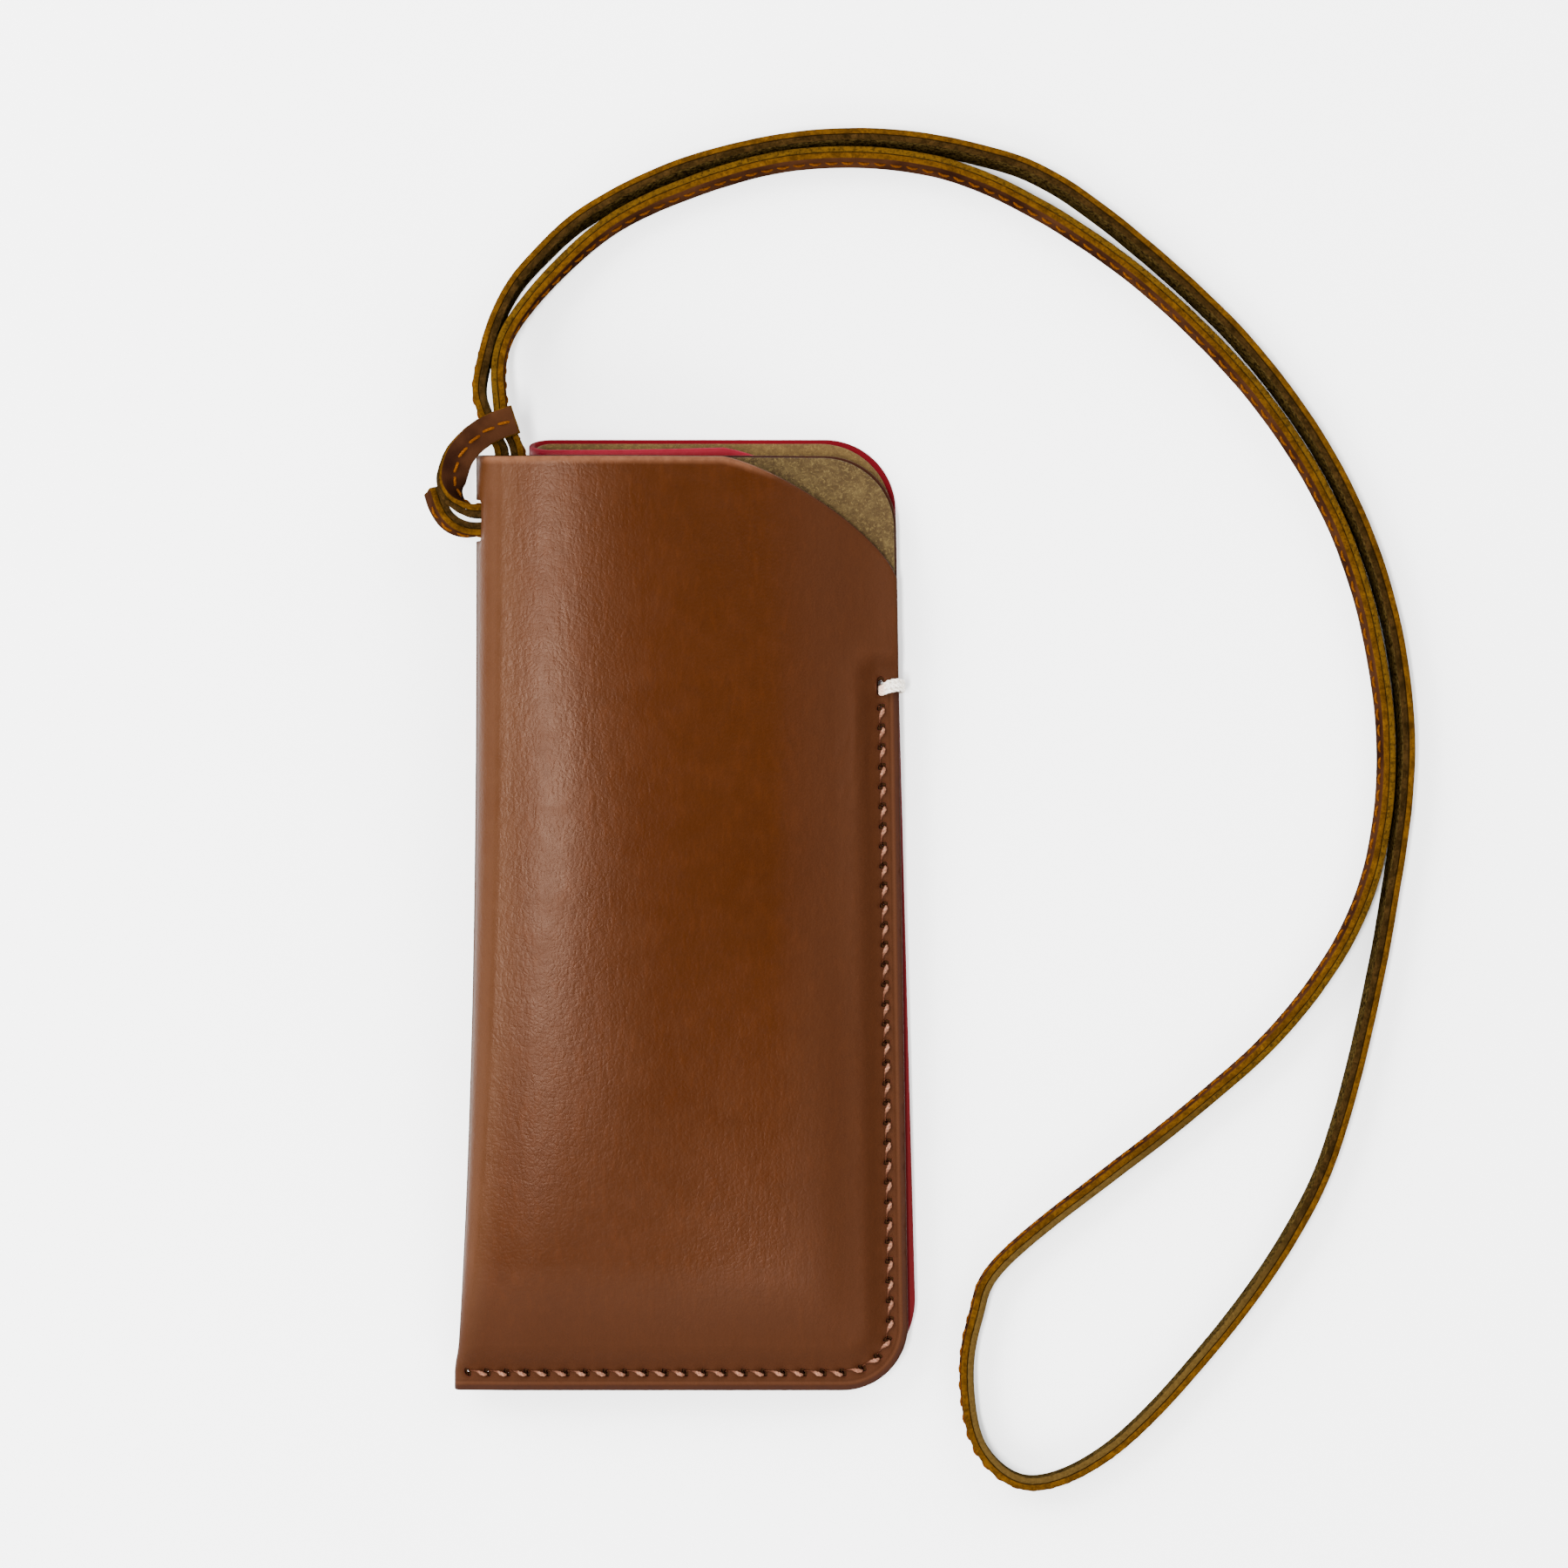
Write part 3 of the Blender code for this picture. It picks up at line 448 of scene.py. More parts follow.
def along_line(line, at):
    return sampled(line, lengths_along(line), at)


def line_length(line):
    return float(np.linalg.norm(np.diff(line, axis=0), axis=1).sum())


def stitch_holes():
    line = stitch_line()
    total = line_length(line)
    at = np.linspace(0, total, round(total / STITCH_PITCH) + 1)
    along = along_line(line, at + THREAD_D) - along_line(line, at - THREAD_D)
    return along_line(line, at), along / np.linalg.norm(along, axis=1)[:, None]


def slit_axis(along):
    c, s = math.cos(SLIT_SLANT), math.sin(SLIT_SLANT)
    return np.array([along[0] * c - along[1] * s, along[0] * s + along[1] * c])


def goes_through(pocket, x, y):
    return x > pocket.crown_x(y) + SLIT_LENGTH / 2


def slit_loops(opening):
    """Each stitch slit as a pointed oval, clockwise. In the hidden leaves it has closed on its threads."""
    loops = []
    for centre, along in zip(*stitch_holes()):
        axis = slit_axis(along)
        wide = np.array([-axis[1], axis[0]])
        loop = []
        for k in range(SLIT_POINTS):
            t = -2 * math.pi * k / SLIT_POINTS
            loop.append(centre + axis * opening * CLOSED_SLIT_LENGTH / 2 * math.cos(t)
                        + wide * opening**2 * CLOSED_SLIT_WIDTH / 2 * math.sin(t) * abs(math.sin(t)) ** 0.4)
        loops.append(np.array(loop))
    return loops


def tack_slot_loop(opening):
    x, half_x, half_y = sewn_edge_x(TACK_Y) - STITCH_INSET, TACK_SLOT_WIDTH / 2, tack_length() / 2
    half_x, half_y = half_x * (0.5 + opening / 2), half_y * (0.5 + opening / 2)
    loop = []
    for end, start in ((1, 180), (-1, 0)):
        middle = (x, TACK_Y + end * (half_y - half_x))
        loop += turned(middle, half_x, start, start - 180, 6)
    return np.array(loop)


def lanyard_slot_loop():
    y = FRONT.top_y - SLOT_BELOW_MOUTH
    half_s, half_y = SLOT_LENGTH / 2, SLOT_WIDTH / 2
    loop = []
    for sign_s, sign_y, start in ((1, 1, 90), (1, -1, 0), (-1, -1, -90), (-1, 1, 180)):
        middle = (sign_s * (half_s - SLOT_CORNER) - SLOT_TOWARDS_BACK, y + sign_y * (half_y - SLOT_CORNER))
        loop += turned(middle, SLOT_CORNER, start, start - 90, 5)
    dense = []
    for a, b in zip(loop, loop[1:] + loop[:1]):
        dense += run(a, b, EDGE_STEP)
    return np.array(dense)


def sewn_loops(pocket):
    loops = []
    for towards in (1, -1):
        opening = 1.0 if pocket is FRONT and towards == 1 else HIDDEN_OPENING
        for loop in slit_loops(opening) + [tack_slot_loop(opening)]:
            x, y = loop.T
            if goes_through(pocket, x.mean(), y.mean()):
                loops.append(np.stack([towards * pocket.flat(x, y), y], axis=1)[::towards])
    return loops


def inside(points, polygon):
    found = np.zeros(len(points), bool)
    following = np.roll(polygon, -1, axis=0)
    for (x0, y0), (x1, y1) in zip(polygon, following):
        if y0 != y1:
            crosses = (points[:, 1] < y0) != (points[:, 1] < y1)
            found ^= crosses & (points[:, 0] < x0 + (points[:, 1] - y0) * (x1 - x0) / (y1 - y0))
    return found


def into_material(loop, distance):
    """The loop moved to the left of its own direction, which is where the material is."""
    ahead = np.roll(loop, -1, axis=0) - np.roll(loop, 1, axis=0)
    left = np.stack([-ahead[:, 1], ahead[:, 0]], axis=1)
    return loop + left / np.linalg.norm(left, axis=1)[:, None] * distance


def outside_loops(points, keep, loops):
    """Takes the points that lie in one of the loops out of those to keep."""
    for loop in loops:
        low, high = loop.min(axis=0), loop.max(axis=0)
        close = np.all((points > low) & (points < high), axis=1)
        keep[close] &= ~inside(points[close], loop)
    return keep


def spread(points, spacing, kept):
    """The points, without those closer than the spacing to a kept or an earlier one."""
    cells = {}
    result = []

    def cell_of(p):
        return int(p[0] // SPREAD_CELL), int(p[1] // SPREAD_CELL)

    def near(p, d):
        cx, cy = cell_of(p)
        around = [cells.get((i, j), ()) for i in range(cx - 1, cx + 2) for j in range(cy - 1, cy + 2)]
        return any((p[0] - q[0]) ** 2 + (p[1] - q[1]) ** 2 < d * d for cell in around for q in cell)

    for p in kept:
        cells.setdefault(cell_of(p), []).append(p)
    for p, d in zip(points, spacing):
        if not near(p, d):
            cells.setdefault(cell_of(p), []).append(p)
            result.append(p)
    return np.array(result)


def seam_points(pocket):
    """Points on lines beside the seam, on both leaves, with how close others may come."""
    points, spacing = [], []
    for cut_in in SEAM_RINGS:
        radius, low, centre = inner_corner(cut_in)
        corner = turned(centre, radius, -90, 0, SEAM_CORNER_STEPS)
        line = np.array([(float(pocket.crown_x(low)), low), *corner,
                         (sewn_edge_x(SEAM_RINGS_TOP_Y) - cut_in, SEAM_RINGS_TOP_Y)])
        step = 0.0007 if cut_in < 0.005 else 0.0012
        for x, y in along_line(line, np.arange(0, line_length(line), step)):
            s = float(pocket.flat(x, y))
            points += [(s, y), (-s, y)]
            spacing += [step * 0.42] * 2
    return points, spacing


def inner_points(pocket, sewn, outline):
    """Points of the sheet with how close others may come: finer beside the seam, the mouth and the tack."""
    points, spacing = [], []
    for cut_in in MOUTH_RINGS:
        ring = into_material(outline, cut_in)
        at_mouth = ring[ring[:, 1] > TACK_Y]
        points += [tuple(p) for p in at_mouth]
        spacing += [CLOSE_SPACING] * len(at_mouth)
    if sewn and pocket is FRONT:
        for x in np.arange(WRINKLED[0], WRINKLED[1], 0.00042):
            for y in np.arange(WRINKLED[2], WRINKLED[3], 0.0006):
                points.append((float(pocket.flat(x, y)), y))
                spacing.append(0.0003)
    if sewn:
        beside, apart = seam_points(pocket)
        points += beside
        spacing += apart
    rows = int((pocket.top_y - pocket.bottom_y) / GRID_STEP)
    for row in range(1, rows):
        y = pocket.bottom_y + (pocket.top_y - pocket.bottom_y) * row / rows
        arc = float(pocket.arc(y))
        far = float(pocket.flat(pocket.edge_x(y), y))
        count = round((far - arc) / GRID_STEP)
        across = [arc * k / ARC_STEPS for k in range(ARC_STEPS)]
        across += [arc + (far - arc) * (k + (row % 2) / 2) / count for k in range(count)]
        points += [(0.0, y)] + [(side * s, y) for s in across[1:] for side in (-1, 1)]
        spacing += [CLOSE_SPACING] * (1 + 2 * (len(across) - 1))
    return np.array(points), np.array(spacing)


def triangulate(loops, points):
    """Triangles between the first loop and the others, with each loop's vertex numbers."""
    per_mm = 1000
    edges, first = [], 0
    for loop in loops:
        edges += [(first + i, first + (i + 1) % len(loop)) for i in range(len(loop))]
        first += len(loop)
    every = np.concatenate([*loops, points])
    made = delaunay_2d_cdt([Vector(p) * per_mm for p in every], edges, [], 0, 1e-6)
    found = {}
    for i, sources in enumerate(made[3]):
        for source in sources:
            found.setdefault(source, i)
    flat, faces = np.array([tuple(v) for v in made[0]]) / per_mm, np.array(made[2])
    middles = flat[faces].mean(axis=1)
    solid = outside_loops(middles, inside(middles, loops[0]), loops[1:])
    numbers, first = [], 0
    for loop in loops:
        numbers.append(np.array([found[first + i] for i in range(len(loop))]))
        first += len(loop)
    return flat, faces[solid], numbers


def mesh_object(name, vertices, faces, material, attributes=None):
    mesh = bpy.data.meshes.new(name)
    mesh.from_pydata([tuple(v) for v in vertices], [], [tuple(int(i) for i in f) for f in faces])
    for key, values in (attributes or {}).items():
        layer = mesh.attributes.new(key, "FLOAT", "POINT")
        layer.data.foreach_set("value", np.asarray(values, np.float32))
    mesh.shade_smooth()
    mesh.materials.append(material)
    return linked(name, mesh)


def sheet(name, pocket, lined, loops, depth, thickness, rise_out, rise_in, rounding, material):
    """A folded sheet with rounded edges and holes. The rises lift its two faces, as functions of the flat."""
    every = [np.array(flat_outline(pocket, lined))] + loops
    rounding_of = [rounding] + [min(rounding, HOLE_ROUNDING)] * len(loops)
    skins = [into_material(loop, r) for loop, r in zip(every, rounding_of)]
    points, spacing = inner_points(pocket, not lined, every[0])
    keep = outside_loops(points, inside(points, skins[0]), skins[1:])
    points = spread(points[keep], spacing[keep], np.concatenate(skins))
    flat, faces, numbers = triangulate(skins, points)
    s, y = flat.T
    count = len(flat)
    vertices = [pocket.place(s, y, depth - rise_out(s, y)),
                pocket.place(s, y, depth + thickness - rise_in(s, y))]
    marks = [np.outer(np.repeat([0.0, 1.0], count), (0, 0, 1))]
    flats, quads, total = [flat, flat], [], 2 * count
    for which, (loop, number, r) in enumerate(zip(every, numbers, rounding_of)):
        rows = [number]
        for angle in RIM_ANGLES:
            a = math.radians(angle)
            flats.append(into_material(loop, r * (1 - math.sin(a))))
            s, y = flats[-1].T
            share = (1 - math.cos(a)) / 2
            lift = rise_out(s, y) * (1 - share) + rise_in(s, y) * share
            vertices.append(pocket.place(s, y, depth + thickness * share - lift))
            rows.append(np.arange(total, total + len(loop)))
            total += len(loop)
            marks.append(np.tile((float(which == 0), float(which > 0), share), (len(loop), 1)))
        rows.append(number + count)
        for upper, lower in zip(rows, rows[1:]):
            a, b = np.arange(len(loop)), np.roll(np.arange(len(loop)), -1)
            quads += list(zip(upper[b], upper[a], lower[a], lower[b]))
    edge, hole, inner = np.concatenate(marks).T
    flats = np.concatenate(flats)
    s, y = flats.T
    x = pocket.leaf_x(s, y)
    off_edge = np.where(np.abs(s) < pocket.arc(y), y - BOTTOM_Y, inset(x, y)) * 1000
    return mesh_object(
        name, np.concatenate(vertices), [*faces, *(faces[:, ::-1] + count), *quads], material,
        {"edge": edge, "hole": hole, "inner": inner,
         "rim": closeness(flats, every[0]), "off_edge": np.clip(off_edge, *OFF_EDGE_MM),
         "sewn": seam_share(y), "fold": smooth(1.75 - np.abs(s) / pocket.arc(y)),
         "front": smooth(s / 0.002)},
    )


def closeness(flat, outline):
    """1 at the mouth's cut edge of the sheet, falling to 0 at RIM_REACH."""
    closed = np.concatenate([outline, outline[:1]])
    dense = along_line(closed, np.arange(0, line_length(closed), 0.0003))
    dense = dense[dense[:, 1] > lining_top()]
    tree = KDTree(len(dense))
    for i, (s, y) in enumerate(dense):
        tree.insert((s, y, 0), i)
    tree.balance()
    distance = np.array([tree.find((s, y, 0))[2] for s, y in flat])
    return 1 - np.clip(distance / RIM_REACH, 0, 1)


def nothing(s, y):
    return np.zeros_like(s)


def seam_share(y):
    """1 beside the stitches, 0 above the tack."""
    return smooth((TACK_Y + 0.0015 - y) / 0.003)


def seam_distance(x, y):
    """How far along the seam a point lies, from the tack."""
    radius, _, (centre_x, centre_y) = inner_corner(STITCH_INSET)
    side = STITCH_START_Y - y
    turn = np.arctan2(-(y - centre_y), np.maximum(x - centre_x, 1e-9))
    straight = STITCH_START_Y - centre_y
    corner = straight + radius * np.clip(turn, 0, math.pi / 2)
    bottom = straight + radius * math.pi / 2 + (centre_x - x)
    return np.where(y > centre_y, side, np.where(x > centre_x, corner, bottom))


def tooled(pocket, s, y):
    """The outer face beside the seam: the pressed crease, the sunk stitch line and its puckers."""
    x = pocket.leaf_x(s, y)
    d = inset(x, y)
    sewn = seam_share(y) * (np.abs(s) > pocket.arc(y) * 0.8)
    line = line_length(stitch_line())
    pitch = line / round(line / STITCH_PITCH)
    wave = np.cos(2 * math.pi * seam_distance(x, y) / pitch)
    rise = sum(height * bump_at(d, centre, width) for height, centre, width in (CREASE, CHANNEL, WELT))
    pucker = -PUCKER_DEPTH * wave * bump_at(d, STITCH_INSET, PUCKER_WIDTH)
    return (rise + pucker) * sewn


def soft_noise(s, y, scale, seed):
    return np.array([noise.noise(Vector((a * scale, b * scale, seed))) for a, b in zip(s, y)])


WRINKLED = (0.0262, 0.0345, 0.0195, 0.0400)
WRINKLES = [
    (0.0318, 0.0365, 0.0305, 0.0300), (0.0300, 0.0352, 0.0287, 0.0281), (0.0331, 0.0322, 0.0320, 0.0252),
    (0.0308, 0.0282, 0.0301, 0.0231), (0.0285, 0.0330, 0.0277, 0.0268), (0.0325, 0.0262, 0.0318, 0.0214),
    (0.0293, 0.0256, 0.0288, 0.0208), (0.0312, 0.0330, 0.0306, 0.0288), (0.0321, 0.0392, 0.0303, 0.0352),
]


def wrinkles(x, y):
    """Fine upright wrinkles where the front leaf is pulled towards the tack."""
    total = np.zeros_like(x)
    for x0, y0, x1, y1 in WRINKLES:
        way = np.array([x1 - x0, y1 - y0])
        length = np.linalg.norm(way)
        way = way / length
        t = (x - x0) * way[0] + (y - y0) * way[1]
        off = -(x - x0) * way[1] + (y - y0) * way[0]
        total += np.sin(math.pi * np.clip(t / length, 0, 1)) * bump_at(off, 0.0, WRINKLE_WIDTH)
    return total


def front_rise(s, y):
    """How far the front sheet stands off its plain form: slow waves, fullness and a swell by the fold."""
    x = FRONT.leaf_x(s, y)
    on_front = smooth(s / 0.004)
    free = smooth((inset(x, y) - 0.006) / 0.012) * on_front
    from_side = sewn_edge_x(y) - x
    low_down = smooth((0.012 - y) / 0.04) * smooth((y - BOTTOM_Y - 0.006) / 0.014) * on_front
    full = FULLNESS * smooth((from_side - 0.0055) / 0.0105) * smooth((0.044 - from_side) / 0.028)
    off_fold = x - FRONT.crown_x(y)
    swell = 0.00012 * smooth((off_fold + 0.001) / 0.004) + 0.00036 * smooth((off_fold - 0.002) / 0.012)
    swell = swell * on_front * (1 - smooth((off_fold - 0.014) / 0.040))
    swell = swell * smooth((y - BOTTOM_Y - 0.006) / 0.03)
    return SLOW_WAVE * free * soft_noise(s, y, 34, 1.7) + low_down * full + swell


def front_outer(s, y):
    x = FRONT.leaf_x(s, y)
    return front_rise(s, y) + tooled(FRONT, s, y) + WRINKLE_HEIGHT * wrinkles(x, y) * (s > 0)


def rear_outer(s, y):
    return tooled(REAR, s, y) * (s < 0)


def feed(tree, node, inputs):
    for key, value in inputs.items():
        if isinstance(value, bpy.types.NodeSocket):
            tree.links.new(value, node.inputs[key])
        else:
            node.inputs[key].default_value = value


class Look:
    """A material being built up: every coat of colour and every bump goes over what is there."""

    def __init__(self, name, colour):
        self.material = bpy.data.materials.new(name)
        self.material.use_nodes = True
        self.tree = self.material.node_tree
        self.colour = colour
        self.normal = None

    def add(self, kind, inputs, **settings):
        made = self.tree.nodes.new(kind)
        for key, value in settings.items():
            setattr(made, key, value)
        feed(self.tree, made, inputs)
        return made

    def place(self):
        return self.add("ShaderNodeTexCoord", {}).outputs["Object"]

    def noise(self, scale, detail, rough, distortion=0.0, where=None):
        return self.add("ShaderNodeTexNoise", {
            "Vector": where or self.place(), "Scale": scale, "Detail": detail,
            "Roughness": rough, "Distortion": distortion,
        }).outputs["Fac"]

    def value(self, name):
        return self.add("ShaderNodeAttribute", {}, attribute_name=name).outputs["Fac"]

    def level(self, value, low, high, to_low=0.0, to_high=1.0):
        inputs = {0: value, 1: low, 2: high, 3: to_low, 4: to_high}
        return self.add("ShaderNodeMapRange", inputs, clamp=True).outputs[0]

    def calc(self, kind, a, b=0.0):
        return self.add("ShaderNodeMath", {0: a, 1: b}, operation=kind).outputs[0]

    def times(self, a, b):
        return self.calc("MULTIPLY", a, b)

    def larger(self, a, b):
        return self.calc("MAXIMUM", a, b)

    def band(self, value, centre, half_width):
        """1 where a value is at the centre, falling to 0 at the half width on both sides."""
        off = self.calc("ABSOLUTE", self.calc("SUBTRACT", value, centre))
        return self.level(off, 0.0, half_width, 1.0, 0.0)

    def between(self, share, a, b):
        return self.add("ShaderNodeMix", {0: share, 2: a, 3: b}, data_type="FLOAT").outputs[0]

    def blend(self, share, a, b):
        return self.add("ShaderNodeMix", {0: share, 6: a, 7: b}, data_type="RGBA").outputs[2]

    def coat(self, share, colour):
        self.colour = self.blend(share, self.colour, colour)

    def bump(self, height, distance, strength):
        inputs = {"Height": height, "Distance": distance, "Strength": strength}
        if self.normal is not None:
            inputs["Normal"] = self.normal
        self.normal = self.add("ShaderNodeBump", inputs).outputs["Normal"]

    def done(self, roughness, specular, **more):
        inputs = {"Base Color": self.colour, "Roughness": roughness, "Specular IOR Level": specular}
        inputs.update({key.replace("_", " "): value for key, value in more.items()})
        if self.normal is not None:
            inputs["Normal"] = self.normal
        feed(self.tree, self.tree.nodes["Principled BSDF"], inputs)
        return self.material


def rgb(hex_colour, gain=0.145):
    """A shader colour for one as displayed: the studio is bright, so dyes are much deeper than they look."""
    parts = [int(hex_colour[i:i + 2], 16) / 255 for i in (0, 2, 4)]
    linear = [c / 12.92 if c <= 0.04045 else ((c + 0.055) / 1.055) ** 2.4 for c in parts]
    return (*[gain * c * (1 + c) for c in linear], 1.0)


def dyes(colours):
    return [rgb(colour) for colour in colours.split()]


def leather_grain(look, cloud, fine, fibres, grain):
    """Small pebbles, pores, brushed fibres and a slow unevenness."""
    warp = look.add("ShaderNodeTexNoise", {"Vector": look.place(), "Scale": 420.0}).outputs["Color"]
    warp = look.add("ShaderNodeVectorMath", {0: warp, 1: (0.0009,) * 3}, operation="MULTIPLY").outputs[0]
    warped = look.add("ShaderNodeVectorMath", {0: look.place(), 1: warp}, operation="ADD").outputs[0]
    cells = look.add("ShaderNodeTexVoronoi", {"Vector": warped, "Scale": 1050}, feature="DISTANCE_TO_EDGE")
    look.bump(look.level(cells.outputs["Distance"], 0.0, 0.25), 0.00006, grain)
    look.bump(fine, 0.00014, 0.32)
    look.bump(fibres, 0.00012, 0.4)
    look.bump(cloud, 0.0012, 0.05)


def smooth_leather(name, colours, grain):
    """Dyed leather: fine grain and painted sewn edges, with painted light on the fold, a painted highlight on
    the welt and along the mouth's rim, and painted shade in the crease, in the stitch holes, towards the
    seams and at the limb.
    """
    dark, middle, light, painted_lit_colour, paint, raw, rim = colours
    look = Look(name, dark)
    level, times, coat = look.level, look.times, look.coat
    cloud = look.noise(30, 3, 0.55)
    fine = look.noise(520, 4, 0.65)
    mottle = look.noise(170, 3, 0.55, 0.4)
    brushed = look.add("ShaderNodeMapping", {
        "Vector": look.place(), "Scale": (1.0, 0.3, 1.0), "Rotation": (0, 0, 0.3)}).outputs[0]
    fibres = look.noise(800, 3, 0.6, 0.3, brushed)
    coat(level(cloud, 0.3, 0.7, 0.62, 0.8), middle)
    coat(level(mottle, 0.45, 0.8, 0.0, 0.1), light)
    coat(level(fine, 0.5, 0.78, 0.0, 0.3), dark)
    coat(level(fibres, 0.5, 0.8, 0.0, 0.3), light)
    flesh = level(look.value("inner"), 0.55, 0.9)
    # paler towards the fold: painted light falling on the fold from the left
    coat(times(look.value("fold"), level(mottle, 0.2, 0.7, 0.6, 0.9)), painted_lit_colour)
    off_edge, sewn, at_rim, hole = [look.value(key) for key in ("off_edge", "sewn", "rim", "hole")]
    # pale band beside the sewn edge: painted highlight on the welt
    coat(times(look.band(off_edge, 1.4, 0.4), times(sewn, 0.3)), rim)
    # dark line beside it: painted shade in the pressed crease
    coat(times(look.band(off_edge, 1.85, 0.2), times(sewn, 0.4)), dark)
    height = look.add("ShaderNodeSeparateXYZ", {0: look.place()}).outputs["Y"]
    # pale strip along the straight top of the mouth: painted highlight on the rounded cut edge
    rim_highlight = times(level(at_rim, 0.2, 0.7), level(look.noise(700, 3, 0.6), 0.3, 0.7, 0.55, 1.0))
    coat(times(rim_highlight, level(height, 0.079, 0.0818)), rim)
    coat(flesh, raw)
    coat(times(flesh, level(at_rim, 0.55, 0.7)), paint)
    # stitch holes painted near black: painted shade in the holes
    coat(level(hole, 0.0, 0.4), (0.05, 0.012, 0.008, 1.0))
    painted = times(level(off_edge, 1.15, 0.8), level(sewn, 0.2, 0.8))
    behind = look.calc("SUBTRACT", 1.0, look.value("front"))
    painted = look.larger(painted, times(level(look.value("edge"), 0.15, 0.75), behind))
    coat(painted, look.blend(level(fine, 0.4, 0.75, 0.0, 0.4), paint, middle))
    # darker towards the seams: painted shade where the leather falls away from the light
    coat(level(off_edge, OFF_EDGE_MM[1], DULL_AND_SHADED_WITHIN_MM, 0.0, 0.5), dark)
    # darker at the limb: painted shade where the surface turns away from the view
    limb = level(look.add("ShaderNodeLayerWeight", {"Blend": 0.5}).outputs["Facing"], 0.6, 0.9)
    coat(limb, dark)
    leather_grain(look, cloud, fine, fibres, grain)
    rough = level(look.calc("ADD", mottle, times(fine, 0.5)), 0.5, 1.0, 0.32, 0.39)
    dull = look.larger(level(off_edge, OFF_EDGE_MM[1], DULL_AND_SHADED_WITHIN_MM), level(at_rim, 0.45, 0.8))
    rough = look.between(dull, rough, 0.68)
    rough = look.between(look.larger(look.larger(flesh, level(hole, 0.0, 0.2)), limb), rough, 1.0)
    return look.done(rough, 0.1, Specular_Tint=(1.0, 0.66, 0.5, 1.0))


def suede(name, colours):
    """Napped flesh side: cloudy, brushed in patches, with short fibres."""
    dark, middle, light = colours
    look = Look(name, dark)
    nap = look.noise(2300, 4, 0.8, 0.4)
    look.coat(look.level(look.noise(80, 3, 0.6), 0.25, 0.75, 0.35, 0.8), middle)
    look.coat(look.level(look.noise(420, 3, 0.6, 0.8), 0.45, 0.72, 0.0, 0.55), light)
    look.coat(look.level(nap, 0.45, 0.62, 0.0, 0.5), dark)
    look.coat(look.level(look.noise(1700, 3, 0.8, 0.6), 0.52, 0.66, 0.0, 0.7), light)
    look.bump(nap, 0.0003, 0.6)
    look.bump(look.noise(2600, 2, 0.6), 0.00015, 0.6)
    return look.done(0.95, 0.1, Sheen_Weight=0.06, Sheen_Roughness=0.5)


def thread_material(name, colours, roughness):
    """Twisted thread: its strands are in the mesh, and the material adds fibre, soiling, painted shade in the
    grooves between strands and, where the thread sinks, a darker colour that is painted shade mixed with
    soiling.
    """
    sunk, dark, light = colours
    look = Look(name, sunk)
    fibre = look.noise(2600, 3, 0.7)
    # tone 1 is the thread's lit colour, tone 0 the sunk colour: painted shade mixed with soiling where the
    # thread sinks
    look.coat(look.value("tone"), look.blend(look.level(fibre, 0.3, 0.7), dark, light))
    look.coat(look.level(look.noise(260, 2, 0.5), 0.45, 0.75, 0.0, 0.5), dark)
    # darker in the grooves between strands: painted shade
    look.coat(look.level(look.value("groove"), 0.3, 1.0, 0.0, 0.75), dark)
    look.bump(fibre, 0.00008, 0.5)
    return look.done(roughness, 0.0)


def strap_leather(name, colours, glossy):
    """One ply of the lanyard: its face, its raw cut edges and its flesh side. Its edge is painted paler where
    the loop lies open: painted light.
    """
    grain_dark, grain_light, edge_dark, edge_light, flesh_dark, flesh_light, painted_lit_colour, gilt = colours
    look = Look(name, edge_dark)
    level, times, coat = look.level, look.times, look.coat
    fine = look.noise(1500, 4, 0.75)
    coarse = look.noise(480, 4, 0.7, 0.6)
    face, cut = look.value("face"), look.value("cut")
    coat(level(coarse, 0.3, 0.7), edge_light)
    coat(times(look.value("gilt"), level(coarse, 0.3, 0.6, 0.5, 1.0)), gilt)
    coat(level(fine, 0.48, 0.62, 0.0, 0.75), edge_dark)
    # paler edge along the open stretch: painted light where no other strand shades it
    coat(times(look.value("open"), level(fine, 0.3, 0.6, 0.35, 1.0)), painted_lit_colour)
    raw = look.colour
    grain = look.blend(level(look.noise(90, 3, 0.6), 0.35, 0.68), grain_dark, grain_light)
    back = look.blend(level(fine, 0.42, 0.6), flesh_dark, flesh_light)
    look.colour = look.blend(level(face, 0.35, 0.65), back, grain)
    coat(level(cut, 0.35, 0.7), raw)
    rough_side = look.larger(look.calc("SUBTRACT", 1.0, face), cut)
    look.bump(times(fine, level(rough_side, 0.3, 0.7, 0.25, 1.0)), 0.00035, 0.6)
    look.bump(coarse, 0.0003, 0.4)
    return look.done(level(rough_side, 0.3, 0.7, glossy, 0.85), 0.0)


def chaikin(points, times):
    for _ in range(times):
        a, b = points[:-1], points[1:]
        middle = np.stack([a * 0.75 + b * 0.25, a * 0.25 + b * 0.75], axis=1).reshape(-1, points.shape[1])
        points = np.concatenate([points[:1], middle, points[-1:]])
    return points


def carried_frames(line):
    """Directions along a line, with a side direction that doesn't spin about it."""
    ahead = np.gradient(line, axis=0)
    ahead /= np.linalg.norm(ahead, axis=1)[:, None]
    side = np.zeros_like(line)
    current = Vector(ahead[0]).orthogonal().normalized()
    for i, direction in enumerate(ahead):
        direction = Vector(direction)
        current = (current - direction * current.dot(direction)).normalized()
        side[i] = current
    return ahead, side, np.cross(ahead, side)


def tube_faces(count, sides):
    """The faces of a tube made of rings, closed at both ends."""
    faces = []
    for i in range(count - 1):
        for k in range(sides):
            a, b = i * sides + k, i * sides + (k + 1) % sides
            faces.append((a, b, b + sides, a + sides))
    return faces + [tuple(range(sides))[::-1], tuple((count - 1) * sides + k for k in range(sides))]


